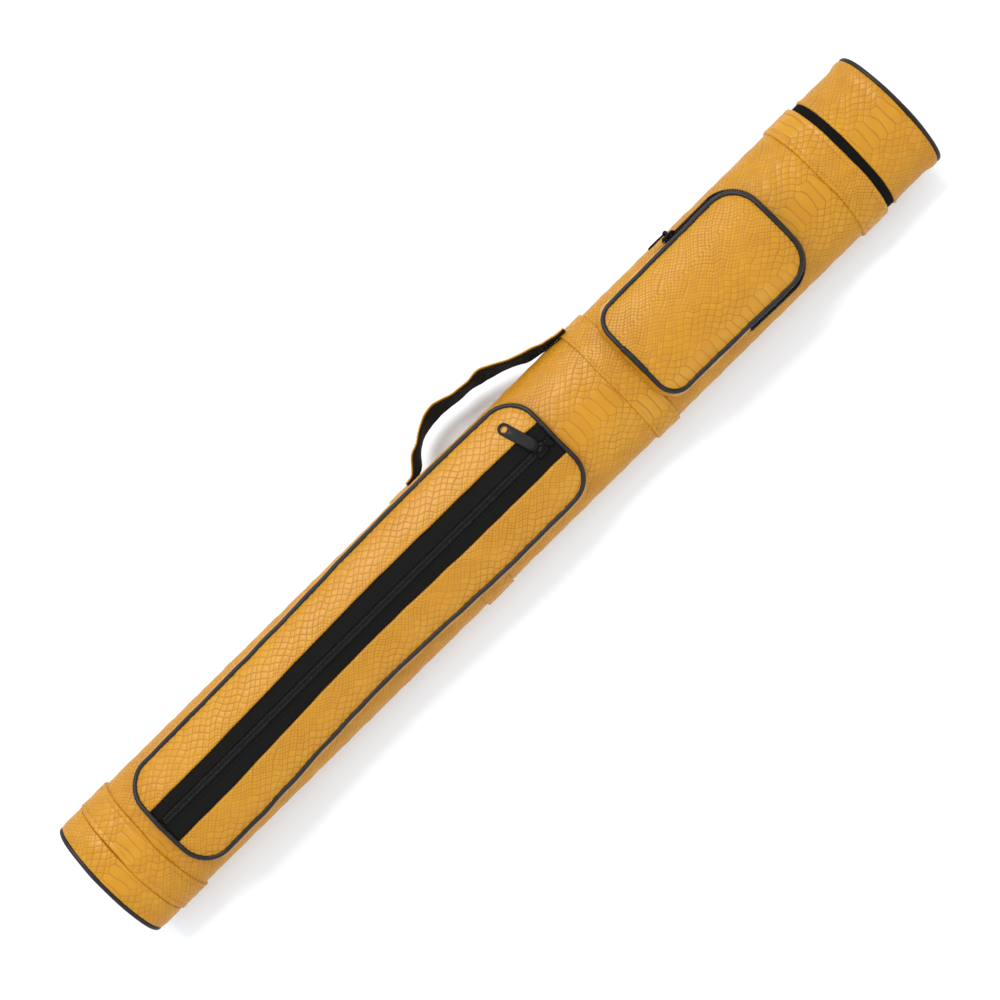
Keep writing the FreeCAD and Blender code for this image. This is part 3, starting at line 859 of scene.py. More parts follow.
@dataclass
class Oval:
    """An oval round the tube axis, walked from the middle of the pocket side towards +Y."""

    half_y: float
    half_z: float
    axis_y: float
    axis_z: float
    samples: int = 4001
    lengths: Array = field(init=False)
    angles: Array = field(init=False)

    def __post_init__(self) -> None:
        """Tables the angle against the length walked."""
        self.angles = np.linspace(-math.pi, math.pi, self.samples)
        y = self.half_y * np.sin(self.angles)
        z = self.half_z * np.cos(self.angles)
        steps = np.hypot(np.diff(y), np.diff(z))
        walked = running(steps)
        self.lengths = walked - walked[-1] / 2

    @property
    def girth(self) -> float:
        """Length all round."""
        return float(self.lengths[-1] - self.lengths[0])

    def at(self, length: Array, out: Array) -> tuple[Array, Array]:
        """Place at a walked length, and square out from the oval.

        Args:
            length: how far round from the middle of the pocket side, in metres.
            out: how far outwards.

        Returns:
            The y and z of the place.
        """
        angle = np.interp(length, self.lengths, self.angles)
        y, z = self.half_y * np.sin(angle), self.half_z * np.cos(angle)
        normal_y, normal_z = np.sin(angle) * self.half_z, np.cos(angle) * self.half_y
        size = np.hypot(normal_y, normal_z)
        return self.axis_y + y + normal_y / size * out, self.axis_z + z + normal_z / size * out

    def height(self, y: Array, grow: float = 0.0) -> Array:
        """Height above the base of the oval's upper side at a place across."""
        share = np.clip((y - self.axis_y) / (self.half_y + grow), -1, 1)
        return self.axis_z + (self.half_z + grow) * np.sqrt(1 - share**2)


class Layout:
    """Places that the pieces are set out from, read from the frame."""

    def __init__(self) -> None:
        """Reads the frame's boxes."""
        low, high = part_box("body_cover")
        self.axis_y = (low.y + high.y) / 2
        self.axis_z = (low.z + high.z) / 2
        self.cover = self.oval(low, high)
        self.cover_x = (low.x, high.x)
        self.bottom_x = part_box("bottom_end_cover")[0].x
        self.top_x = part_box("cap_end_cover")[1].x
        self.boot_x = self.span("bottom_boot")
        self.hem_x = self.span("bottom_hem_band")
        self.low_band_x = self.span("handle_lower_band")
        self.high_band_x = self.span("handle_upper_band")
        self.collar_x = self.span("top_collar")
        self.cap_x = self.span("cap_cover")

    def oval(self, low: object, high: object) -> Oval:
        """The oval that just fits a box."""
        return Oval((high.y - low.y) / 2, (high.z - low.z) / 2, self.axis_y, self.axis_z)

    def span(self, node: str) -> tuple[float, float]:
        """Where a node starts and ends along the case."""
        low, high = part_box(node)
        return low.x, high.x

    def y(self, across: float) -> float:
        """Frame place of a distance across from the tube axis."""
        return self.axis_y + across


def settle(piece: Piece, body: str, slot: str, *nodes: str) -> Piece:
    """Puts a piece on its body and hides the frame nodes that it stands for."""
    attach(piece, body)
    if nodes:
        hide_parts(*nodes)
    return piece


@dataclass(frozen=True)
class Fold:
    """How wrapped leather is made: its edge's round and lip, its seam's inset and its unevenness."""

    edge: float = 1.1 * MM
    lip: float = 0.0
    lip_in: float = 1.8 * MM
    lip_width: float = 1.1 * MM
    stitch_in: float = 0.0
    dent: float = 0.3 * MM
    dent_width: float = 0.8 * MM
    wander: float = 0.0
    wander_wave: float = 71 * MM
    ripple: float = 0.12 * MM
    ripple_wave: float = 23 * MM
    overlap: float = 0.5 * MM
    overlap_width: float = 4 * MM

    def sway(self, s: Array, start: float) -> Array:
        """How far along the case an edge or a seam strays, at a length walked round it."""
        return self.wander * ripple(s, 0.0, self.wander_wave, start * 31)

    def level(self, x: Array, s: Array, span: tuple[float, float], girth: float, phase: float) -> Array:
        """How far the edge's round has risen, and what lies on it.

        Args:
            x: place along the case.
            s: length walked round it.
            span: where the leather starts and ends along the case.
            girth: length all round, at whose ends the leather overlaps.
            phase: what sets the unevenness.

        Returns:
            The rise as a share, from 0 at both edges to 1, and the height of all that lies on it.
        """
        inside = np.minimum(x - span[0], span[1] - x)
        rise = np.sqrt(1 - (1 - np.clip(inside / self.edge, 0, 1)) ** 2)
        extra = self.lip * hump(inside - self.lip_in, self.lip_width)
        if self.stitch_in:
            extra = extra - self.dent * hump(inside - self.stitch_in, self.dent_width)
        extra = extra + self.ripple * ripple(x, s, self.ripple_wave, phase)
        extra = extra + self.overlap * hump(girth / 2 - np.abs(s), self.overlap_width)
        return rise, extra


def wrapped(
    name: str,
    oval: Oval,
    span: tuple[float, float],
    out: tuple[float, float],
    finish: Material,
    fold: Fold,
    belly: float = 0.0,
    shift: float = 0.0,
    relief: float = 0.28 * MM,
    step: float = 1.0 * MM,
    swell: Callable | None = None,
) -> Piece:
    """Embossed leatherette wrapped all round an oval.

    The section along the case goes out from the inner level to the outer one, and in again at the other
    end, with round edges, and is carried round the oval. On it lie the fold's details and the emboss.

    Args:
        name: the piece's name.
        oval: the oval that the levels are measured from.
        span: where it starts and ends along the case.
        out: inner and outer level.
        finish: its material.
        fold: the make of its edges.
        belly: where round the oval a belly line of the emboss lies.
        shift: how far the emboss is moved along the case.
        relief: depth of the emboss.
        step: size of the mesh.
        swell: a further rise, as a function of the place along and round.

    Returns:
        The new object.
    """
    x0, x1 = span
    turn_in = fold.edge * np.array([0.0, 0.08, 0.3, 0.65])
    run = np.concatenate(
        [x0 + turn_in, spread(x0 + fold.edge, x1 - fold.edge, step), x1 - turn_in[::-1]]
    )
    count = int(oval.girth / step)
    walked = np.linspace(-oval.girth / 2, oval.girth / 2, count + 1)
    x, s = crossed(run, walked[:-1])
    rise, extra = fold.level(x, s, span, oval.girth, belly * 900 + x0 * 50)
    if swell is not None:
        extra = extra + swell(x, s)
    extra = extra + relief * EMBOSS.height(x + shift, s - belly)
    y, z = oval.at(s, out[0] + (out[1] - out[0] + extra) * rise)
    points = stacked(x + fold.sway(s, x0), y, z)
    grid = crossed(run + shift, walked - belly)
    return grid_piece(name, points, *grid, finish, wrap_rows=True, wrap_cols=True)


def follow(line: Array, up: Array, places: Array, reach: float) -> tuple[Array, Array]:
    """Places along a line of points, and the axes of what is laid there.

    Args:
        line: close points of the line, of shape (count, 3).
        up: outward direction at each.
        places: how far along the line, of any number.
        reach: how far ahead the direction is read.

    Returns:
        The points, and at each its right-handed unit axes: ahead, sideways and out.
    """
    walked = lengths_of(line)
    middle = read_at(places, walked, line)
    ahead = unit(read_at(places + reach, walked, line) - middle)
    side = unit(np.cross(read_at(places, walked, up), ahead))
    return middle, np.stack([ahead, side, np.cross(ahead, side)], axis=1)


def stitches(name: str, line: Array, up: Array, finish: Material) -> Piece:
    """A row of lockstitches along a line of points, each a lens of thread half sunk in the leather.

    Args:
        name: the piece's name.
        line: close points of the seam, of shape (count, 3).
        up: outward direction at each point.
        finish: the thread.

    Returns:
        The new object.
    """
    pitch, half_sizes = 3.2 * MM, (1.15 * MM, 0.33 * MM, 0.30 * MM)
    places = np.arange(pitch / 2, lengths_of(line)[-1] - pitch / 2, pitch)
    middle, axes = follow(line, up, places, 0.6 * MM)
    return beads(name, middle, axes, half_sizes, finish, rings=5, sides=6)


def oval_seam(
    name: str, oval: Oval, x: float, out: float, finish: Material, fold: Fold, start: float
) -> Piece:
    """A row of stitches all round an oval at one place along the case.

    Args:
        name: the piece's name.
        oval: the oval.
        x: place along the case.
        out: height above the oval.
        finish: the thread.
        fold: the band's make, whose straying the seam follows.
        start: where the band starts.

    Returns:
        The new object.
    """
    s = np.linspace(-oval.girth / 2, oval.girth / 2, 900)
    y, z = oval.at(s, np.full_like(s, out))
    y_out, z_out = oval.at(s, np.full_like(s, out + MM))
    line = stacked(x + fold.sway(s, start), y, z)
    return stitches(name, line, stacked(0.0, y_out - y, z_out - z), finish)


def end_disc(
    name: str, oval: Oval, x: float, facing: int, dome: float, finish: Material
) -> Piece:
    """The leatherette over an end: rings from a small middle one out to the oval, a flat parabola.

    Args:
        name: the piece's name.
        oval: the rim.
        x: the rim's place along the case.
        facing: 1 for the cap's end and -1 for the bottom.
        dome: how far the middle stands out.
        finish: its material.

    Returns:
        The new object.
    """
    share = spread(0.01, 1.0, 0.02)
    s = np.linspace(-oval.girth / 2, oval.girth / 2, 241)
    y_rim, z_rim = oval.at(s, np.zeros_like(s))
    y = oval.axis_y + (y_rim - oval.axis_y) * share[:, None]
    z = oval.axis_z + (z_rim - oval.axis_z) * share[:, None]
    height = dome * (1 - share[:, None] ** 2) + 0.25 * MM * EMBOSS.height(y, z)
    points = stacked(x + facing * height, y, z)[:, :-1]
    return grid_piece(name, points, y, z, finish, wrap_cols=True, pole=True, flip=facing > 0)


@dataclass
class Plan:
    """A rounded rectangle on the face of the case, in the frame's x and y."""

    x0: float
    x1: float
    y0: float
    y1: float
    low_r: float
    high_r: float

    def ring(self, step: float) -> tuple[Array, ...]:
        """Walks once round the outline from the middle of the low end, towards -Y first.

        Straight runs join four quarter circles, and the whole is set out in even steps.

        Args:
            step: about how far apart the points are.

        Returns:
            x, y, outward x and outward y of each point, and how far it has walked, with the whole
            length last.
        """
        corners = (
            (self.x0 + self.low_r, self.y0 + self.low_r, self.low_r, 180),
            (self.x1 - self.high_r, self.y0 + self.high_r, self.high_r, 270),
            (self.x1 - self.high_r, self.y1 - self.high_r, self.high_r, 0),
            (self.x0 + self.low_r, self.y1 - self.low_r, self.low_r, 90),
        )
        middle = (self.y0 + self.y1) / 2
        rows = [np.array([[self.x0, middle, -1.0, 0.0]])]
        for x, y, radius, start in corners:
            turn = np.radians(np.linspace(start, start + 90, 40))
            out = stacked(np.cos(turn), np.sin(turn))
            rows.append(np.concatenate([np.array([x, y]) + out * radius, out], axis=1))
        table = np.concatenate([*rows, rows[0]])
        walked = lengths_of(table[:, :2])
        even = np.linspace(0, walked[-1], int(walked[-1] / step) + 1)
        x, y, out_x, out_y = read_at(even[:-1], walked, table).T
        size = np.hypot(out_x, out_y)
        return x, y, out_x / size, out_y / size, even

    def depth(self, x: Array, y: Array) -> Array:
        """How far inside the outline a place is, by the distance to a rounded rectangle."""
        radius = np.where(x < (self.x0 + self.x1) / 2, self.low_r, self.high_r)
        from_x = np.maximum(self.x0 - x, x - self.x1) + radius
        from_y = np.maximum(self.y0 - y, y - self.y1) + radius
        outside = np.hypot(np.maximum(from_x, 0), np.maximum(from_y, 0))
        return radius - outside - np.minimum(np.maximum(from_x, from_y), 0)

    def stations(self, step: float) -> Array:
        """Places along the case, close together where the corners turn."""
        low = np.linspace(0, math.pi / 2, int(self.low_r * 1.57 / step))
        high = np.linspace(math.pi / 2, 0, int(self.high_r * 1.57 / step))
        start = self.x0 + self.low_r * (1 - np.cos(low))
        end = self.x1 - self.high_r * (1 - np.cos(high))
        middle = spread(self.x0 + self.low_r, self.x1 - self.high_r, step)[1:-1]
        return np.concatenate([start, middle, end])

    def reach(self, x: Array) -> Array:
        """How far the outline's long sides have drawn in at a place along it, at its corners."""
        drawn = []
        for radius, from_end in ((self.low_r, x - self.x0), (self.high_r, self.x1 - x)):
            into = np.clip(radius - from_end, 0, radius)
            drawn.append(radius - np.sqrt(np.maximum(radius**2 - into**2, 0)))
        return np.maximum(*drawn)


@dataclass
class Sway:
    """Crookedness of a pocket: how far each long edge strays across, at places along the case."""

    places: tuple
    low_edge: tuple
    high_edge: tuple

    def at(self, x: Array, share: Array | float) -> Array:
        """Shift across, from the low edge's at share 0 to the high edge's at share 1."""
        low = smooth_line(x, self.places, self.low_edge)
        high = smooth_line(x, self.places, self.high_edge)
        return low + (high - low) * share


@dataclass(frozen=True)
class Padding:
    """Soft shape of a padded face: its dip at the piping, its puckers, its swell and its folded edge."""

    dip: float = 1.5 * MM
    dip_reach: float = 6 * MM
    pucker: float = 0.32 * MM
    pucker_wave: float = 11 * MM
    pucker_reach: float = 5 * MM
    swell_reach: float = 22 * MM
    soft: float = 0.3 * MM
    soft_wave: float = 58 * MM
    fold: float = 1.3 * MM
    fold_lip: float = 0.25 * MM
    fold_lip_in: float = 2.0 * MM
    relief: float = 0.26 * MM
    thickness: float = 1.5 * MM
    fill: float = 0.5

    def lie(self, x: Array, y: Array, depth: Array, swell: float) -> Array:
        """Height of the face above its crown, from the filling and the piped seam.

        Args:
            x: place along the case.
            y: place across.
            depth: how far inside the piping.
            swell: how far the filling lifts its middle.

        Returns:
            The height.
        """
        dip = self.dip * (1 - np.sqrt(np.clip(depth / self.dip_reach, 0, 1)))
        pucker = self.pucker * ripple(x + y * 0.2, y * 0.1, self.pucker_wave, 0.9)
        pucker = pucker * np.exp(-depth / self.pucker_reach)
        soft = self.soft * ripple(x, y, self.soft_wave, 2.2) * smooth_step(depth, 2 * MM, 14 * MM)
        return pucker - dip + soft + swell * smooth_step(depth, 0, self.swell_reach)

    def folded(self, inside: Array) -> Array:
        """Height of an edge that is folded down at the zip, at a distance inside it."""
        down = self.fold * (1 - np.sqrt(np.clip(inside / self.fold, 0, 1)))
        return self.fold_lip * hump(inside - self.fold_lip_in, self.fold) - down


@dataclass
class Pocket:
    """What the two pockets share: a plan, a crown, a wall of leatherette and a piped edge."""

    layout: Layout
    finishes: Finishes
    name: str
    plan: Plan
    crown: Oval
    sway: Sway
    belly: float
    shift: float
    swell: float
    cord_radius: float = 2.0 * MM
    proud: float = 1.2 * MM
    bulge: float = 3.0 * MM
    wall_relief: float = 0.22 * MM
    wall_belly: float = 20 * MM
    wall_inside: float = 1.4 * MM

    def strayed(self, x: Array, y: Array) -> Array:
        """The across place once the pocket's crookedness is added."""
        share = (y - self.plan.y0) / (self.plan.y1 - self.plan.y0)
        return y + self.sway.at(x, share)

    def bulged(self, share: Array) -> Array:
        """How far the wall stands out at a share of its height."""
        return self.bulge * (1 - smooth_step(share, 0.25, 1.0))

    def wall(self) -> Piece:
        """The gusset: a wall round the plan, from the case's cover up to the crown.

        It stands out by the bulge low down and eases in to the piped edge above, with soft folds
        across it that fade at both edges, and closes behind along a plain inner face.

        Returns:
            The wall.
        """
        x, y, out_x, out_y, walked = self.plan.ring(1.1 * MM)
        share = np.concatenate([np.linspace(0, 1, 24), [1.0, 0.0]])[:, None]
        inner = np.repeat([0.0, 1.0], [24, 2])[:, None]
        foot = self.layout.cover.height(y + out_y * self.bulge * 0.5, 0.2 * MM) - 0.4 * MM
        tall = self.crown.height(y) + 0.3 * MM - foot
        around, up = walked[None, :-1], share * tall
        out = self.bulged(share) + 0.3 * MM
        folds = ripple(around, up, 31 * MM, self.belly * 700) * np.sin(math.pi * share)
        out = out + 0.5 * MM * folds
        belly = self.belly + self.wall_belly
        out = out + self.wall_relief * EMBOSS.height(around, up - belly)
        out = out * (1 - inner) - self.wall_inside * inner
        px, py = x + out_x * out, y + out_y * out
        points = stacked(px, self.strayed(px, py), foot + up)
        along, across = np.broadcast_arrays(walked, share * np.append(tall, tall[0]) - belly)
        return grid_piece(
            self.name + "_wall", points, along, across, self.finishes.leatherette, True, True, flip=True
        )

    def cord_line(self) -> Array:
        """Middle line of the piping, a little uneven."""
        x, y, out_x, out_y, walked = self.plan.ring(1.6 * MM)
        stray = 0.35 * MM * ripple(walked[:-1], 0.0, 47 * MM, 1.3)
        bob = 0.25 * MM * ripple(walked[:-1], 0.0, 29 * MM, 0.4)
        px, py = x + out_x * stray, y + out_y * stray
        z = self.crown.height(y) + self.proud - self.cord_radius + bob
        return stacked(px, self.strayed(px, py), z)

    def piping(self) -> Piece:
        """The cord that is sewn in between face and wall."""
        section = round_section(self.cord_radius, 16)
        finish = self.finishes.piping
        return carry(self.name + "_cord", self.cord_line(), UP, section, finish, True)

    def face(self, name: str, low: Array, high: Array, x: Array, zip_edge: int) -> Piece:
        """A padded face panel between two lines across the pocket, with the crown's height.

        Args:
            name: the piece's name.
            low: its edge nearer -Y at each place along the case.
            high: its edge nearer +Y.
            x: places along the case.
            zip_edge: 1 if the high edge meets the zip, -1 if the low one does and 0 if neither.

        Returns:
            The panel.
        """
        padding = Padding()
        columns = int(np.max(high - low) / (0.85 * MM)) + 1
        share = np.linspace(0, 1, columns)[None, :]
        xs = np.broadcast_to(x[:, None], (len(x), columns))
        y = low[:, None] + (high - low)[:, None] * share
        depth = np.maximum(self.plan.depth(xs, y), 0)
        z = self.crown.height(y) + padding.lie(xs, y, depth, self.swell)
        if zip_edge:
            z += padding.folded((high[:, None] - y) if zip_edge > 0 else (y - low[:, None]))
        along, across = xs + self.shift, y - self.layout.axis_y - self.belly
        z += padding.relief * EMBOSS.height(along, across)
        points = stacked(xs, self.strayed(xs, y), z)
        piece = grid_piece(name, points, along, across, self.finishes.leatherette)
        thicken(piece, padding.thickness)
        return piece


@dataclass
class ZipSlider:
    """A zip slider with its bridge and its pull, set out on the coil and turned into place.

    In its own axes the coil runs along X, +Z stands out of the zip, and the pull lies along +Y from
    the bar.
    """

    name: str
    slider_node: str
    pull_node: str
    place: Array
    slider_turn: Array
    pull_turn: Array
    length: float
    finishes: Finishes
    bar_turn: Array = field(default_factory=lambda: np.eye(3))
    width: float = 10.0 * MM
    thick: float = 1.5 * MM
    root: float = 4.6 * MM
    shoulder: float = 6.0 * MM
    hole: float = 3.0 * MM
    root_gap: float = 1.5 * MM
    bar_height: float = 2.85 * MM
    coil_half: float = 3.2 * MM
    flange: float = 1.5 * MM
    flange_gap: float = 0.6 * MM
    flange_foot: float = -1.1 * MM
    half_length: float = 6.0 * MM

    def seated(self, points: Array) -> Array:
        """The slider's own points, turned and moved to the frame."""
        return points @ self.slider_turn.T + self.place

    def hung(self, points: Array) -> Array:
        """The pull's own points, turned about the bar and moved to it."""
        return points @ self.pull_turn.T + self.seated(np.array([0, 0, self.bar_height]))

    def body(self) -> Piece:
        """The slider's top plate and flanges: a shield with a rounded top and sides that clasp the coil.

        Its section goes up the flange, over a rounded shoulder and along a slightly domed top, and
        back inside; its width follows a shield that narrows to one end.

        Returns:
            The slider's body.
        """
        along = spread(-1.0, 1.0, 0.04)
        reach = ((1 - np.abs(along) ** 3.5 * 0.18) * (1 - 0.06 * along))[:, None]
        end = np.sqrt(np.clip(1 - np.abs(along) ** 8, 0.02, 1))[:, None]
        turn = np.linspace(0, math.pi, 31)
        wide, high = powered(np.cos(turn), 0.35), np.sin(turn) ** 0.45
        outer_y = wide * (self.coil_half + self.flange) * reach
        outer_z = self.flange_foot + 2.7 * MM * high * end
        inner_y = wide[::-1] * (self.coil_half + self.flange_gap) * reach
        inner_z = np.minimum(self.flange_foot + 1.4 * MM * high[::-1], 0.3 * MM) + 0 * end
        y = np.concatenate([outer_y, inner_y], axis=1)
        z = np.concatenate([outer_z, inner_z], axis=1)
        points = self.seated(stacked((along * self.half_length)[:, None], y, z))
        grid = crossed(along * MM, np.linspace(0, 1, y.shape[1] + 1) * MM)
        name, finish = self.name + "_slider", self.finishes.enamel
        return grid_piece(name, points, *grid, finish, wrap_cols=True, capped=True, flip=True)

    def bridge(self) -> Piece:
        """The arched bar over the slider's top, as a flat loop of metal."""
        turn = np.linspace(-0.12, math.pi + 0.12, 33)
        arc = stacked(-np.cos(turn) * 3.9 * MM, 0.0, np.sin(turn) * 2.6 * MM + 1.0 * MM)
        up = self.slider_turn @ self.bar_turn @ np.array([0, 1.0, 0])
        section = strip_section(1.3 * MM, 1.5 * MM, 16)
        line = self.seated(arc @ self.bar_turn.T)
        return carry(self.name + "_bridge", line, up, section, self.finishes.enamel)

    def outline(self, angle: Array) -> Array:
        """How far the pull's outline is from the middle of its eye, at each angle from the tip.

        It is a half circle at the tip, with straight flanks and a taper to the root.

        Args:
            angle: angles from the tip's direction.

        Returns:
            The distances.
        """
        half, tip = self.width / 2, self.length - self.width / 2
        cos, sin = np.cos(angle), np.sin(angle)
        back = np.linspace(0, tip - self.root_gap, 240)
        taper = [0.0, 2 * MM, self.shoulder, tip]
        flank = np.interp(tip - back, taper, [self.root / 2, self.root / 2, half, half])
        flank_angle, flank_far = np.arctan2(flank, -back), np.hypot(flank, back)
        order = np.argsort(flank_angle)
        far = np.interp(np.arctan2(np.abs(sin), cos), flank_angle[order], flank_far[order])
        reach = np.where(cos >= 0, half, far)
        ended = (tip - self.root_gap) / np.maximum(-cos, 0.02)
        return np.minimum(reach, np.where(cos < -0.02, ended, reach))

    def tab(self) -> Piece:
        """The pull's tab: a ring of metal between its eye and its outline, with a raised rim.

        Returns:
            The tab.
        """
        tip = self.length - self.width / 2
        angle = np.arange(180) * TAU / 180
        share = np.array([0, 0, 0.06, 0.18, 0.5, 0.82, 0.94, 1, 1, 0.94, 0.82, 0.5, 0.18, 0.06])
        top = [0.55, 0.9, 1.0, 0.78, 1.0, 0.9, 0.5]
        level = np.array([-0.55, *top, -0.5, -0.9, -1.0, -0.78, -1.0, -0.9])
        radius = self.hole + (self.outline(angle) - self.hole) * share[:, None]
        x, y = radius * np.sin(angle), tip + radius * np.cos(angle)
        points = self.hung(stacked(x, y, level[:, None] * self.thick / 2))
        grid = crossed(np.arange(15) * MM, np.arange(181) * 0.3 * MM)
        name, finish = self.name + "_tab", self.finishes.enamel
        return grid_piece(name, points, *grid, finish, True, True, flip=True)

    def sleeve(self) -> Piece:
        """The pull's eye round the bar: a rounded strip carried round the bar's axis."""
        turn = (np.arange(32) * TAU / 32)[:, None]
        section = strip_section(self.root, 1.0 * MM, 20)
        radius = 1.5 * MM + section[:, 1]
        points = self.hung(stacked(section[:, 0], radius * np.cos(turn), radius * np.sin(turn)))
        grid = crossed(np.arange(33) * 0.3 * MM, np.arange(21) * 0.3 * MM)
        name, finish = self.name + "_sleeve", self.finishes.enamel
        return grid_piece(name, points, *grid, finish, True, True, flip=True)

    def build(self, slider_body: str, pull_body: str) -> None:
        """Makes the slider and its pull.

        Args:
            slider_body: the frame's body that slides.
            pull_body: the frame's body that swings.
        """
        for piece in (self.body(), self.bridge()):
            settle(piece, slider_body, "black_metal", self.slider_node)
        for piece in (self.tab(), self.sleeve()):
            settle(piece, pull_body, "black_metal", self.pull_node)


def turned_about(axis: int, degrees: float) -> Array:
    """Rotation matrix about X, Y or Z."""
    cos, sin = math.cos(math.radians(degrees)), math.sin(math.radians(degrees))
    matrix = np.eye(3)
    first, second = (axis + 1) % 3, (axis + 2) % 3
    matrix[first, first] = matrix[second, second] = cos
    matrix[first, second], matrix[second, first] = -sin, sin
    return matrix


def zip_teeth(
    name: str, line: Array, up: Array, side: int, half: float, finish: Material
) -> Piece:
    """One half of a nylon coil: a row of small ribs that lie across the zip.

    Args:
        name: the piece's name.
        line: close points of the zip's middle, of shape (count, 3).
        up: outward direction at each.
        side: 1 or -1, for the half on that side, whose ribs are set half a step along.
        half: half the coil's width.
        finish: the nylon.

    Returns:
        The ribs.
    """
    pitch = 1.3 * MM
    first = pitch / 2 if side > 0 else 0.0
    places = np.arange(pitch, lengths_of(line)[-1] - pitch, pitch) + first
    middle, axes = follow(line, up, places, 0.4 * MM)
    across = axes[:, 1] * side
    ahead = np.cross(across, axes[:, 2])
    frames = np.stack([across, ahead, np.cross(across, ahead)], axis=1)
    sizes = (half * 0.50, 0.50 * MM, 0.85 * MM)
    return beads(name, middle + across * half * 0.52, frames, sizes, finish, 0.8, 6, 7)


@dataclass
class LongPocket:
    """The long pocket with its two face panels and the zip between them."""

    layout: Layout
    finishes: Finishes
    places: tuple = in_mm(-363, -305, -275, -235, -196, -165, -117, -78, -39, 0, 40, 60)
    low_edge: tuple = in_mm(-3.0, -2.4, -0.8, 1.4, 3.2, 3.9, 3.1, 1.4, 0.2, 0.1, 0.6, 0.6)
    high_edge: tuple = in_mm(-3.3, -3.0, -2.4, -1.9, -1.0, -0.2, 1.6, 2.2, 2.5, 2.2, 1.4, 0.9)
    coil_share: float = 0.15
    tape_half: float = 15.85 * MM
    tape_under: float = 3.0 * MM
    tape_depth: float = 1.7 * MM
    coil_half: float = 3.1 * MM
    zip_y: float = 2.2 * MM
    pocket: Pocket = field(init=False)

    def build(self) -> None:
        """Makes the pocket's pieces."""
        y_mid, half_width = self.layout.y(2.0 * MM), 46.5 * MM
        plan = Plan(-363.6 * MM, 60.3 * MM, y_mid - half_width, y_mid + half_width, 23 * MM, 23 * MM)
        crown = Oval(64.7 * MM, 37.0 * MM, self.layout.axis_y, self.layout.axis_z)
        sway = Sway(self.places, self.low_edge, self.high_edge)
        shape = (plan, crown, sway, 60 * MM, 13 * MM, 0.4 * MM)
        self.pocket = Pocket(self.layout, self.finishes, "main_pocket", *shape)
        settle(self.pocket.wall(), "case_body", "leatherette", "main_pocket_gusset")
        settle(self.pocket.piping(), "case_body", "piping", "main_pocket_piping")
        self.faces()
        self.tapes()
        self.coils()

    def faces(self) -> None:
        """The two panels beside the zip."""
        plan = self.pocket.plan
        x = plan.stations(0.9 * MM)
        reach = plan.reach(x)
        middle = self.layout.y(self.zip_y) + 0.25 * MM * ripple(x, 0.0, 39 * MM, 0.5)
        left = (middle + self.tape_half, plan.y1 - reach, x, -1)
        right = (plan.y0 + reach, middle - self.tape_half, x, 1)
        for label, edges in (("left", left), ("right", right)):
            panel = self.pocket.face("main_pocket_face_" + label, *edges)
            settle(panel, "case_body", "leatherette", "main_pocket_panel_" + label)

    def tapes(self) -> None:
        """The woven tapes, from under the panels' edges to a ridge along each side of the coil."""
        plan = self.pocket.plan
        x = spread(plan.x0 + 1.7 * MM, plan.x1 - 1.7 * MM, 2.2 * MM)[:, None]
        out = np.linspace(0.1 * MM, self.tape_half + self.tape_under, 27)[None, :]
        ridge = 0.75 * MM * hump(out - 5.0 * MM, 1.1 * MM)
        rise = ridge - 0.5 * MM * smooth_step(-out, -2.5 * MM, 0) - self.tape_depth
        blend = smooth_step(out, 3 * MM, 14 * MM)
        for side, label in ((1, "left"), (-1, "right")):
            y = self.layout.y(self.zip_y) + side * out
            z = self.pocket.crown.height(y) + rise + 0.15 * MM * ripple(x, y, 37 * MM, 0.3 + side)
            inner, outer = y + self.coil_shift(x), self.pocket.strayed(x, y)
            points = stacked(x, inner * (1 - blend) + outer * blend, z)
            name, grid = "main_zip_cloth_" + label, np.broadcast_arrays(x, out)
            piece = grid_piece(name, points, *grid, self.finishes.tape, flip=side < 0)
            thicken(piece, 0.8 * MM)
            settle(piece, "case_body", "zip_tape", "main_zip_tape_" + label)

    def coil_shift(self, x: Array) -> Array:
        """How far the coil strays across at a place along the case."""
        return self.pocket.sway.at(x, 0.5) * self.coil_share

    def coils(self) -> None:
        """The two rows of ribs, the woven core between them and the stop."""
        plan, middle = self.pocket.plan, self.layout.y(self.zip_y)
        x = spread(plan.x0 + 4 * MM, plan.x1 - 5 * MM, 1.0 * MM)
        height = self.pocket.crown.height(np.array(middle)) - 0.55 * MM
        line = stacked(x, middle + self.coil_shift(x), height)
        up = np.broadcast_to(UP, line.shape)
        for side, label in ((1, "left"), (-1, "right")):
            name = "main_zip_teeth_" + label
            teeth = zip_teeth(name, line, up, side, self.coil_half, self.finishes.coil)
            settle(teeth, "case_body", "zip_coil", "main_zip_coil_" + label)
        section = strip_section(4.6 * MM, 1.2 * MM, 16)
        core = carry("main_zip_core", line[::2] - 0.5 * MM * UP, UP, section, self.finishes.tape)
        settle(core, "case_body", "zip_tape")
        dress(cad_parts["main_zip_stop"], self.finishes.enamel)


def dress(node: Piece, finish: Material) -> None:
    """Gives a frame node its finish."""
    node.data.materials.clear()
    node.data.materials.append(finish)


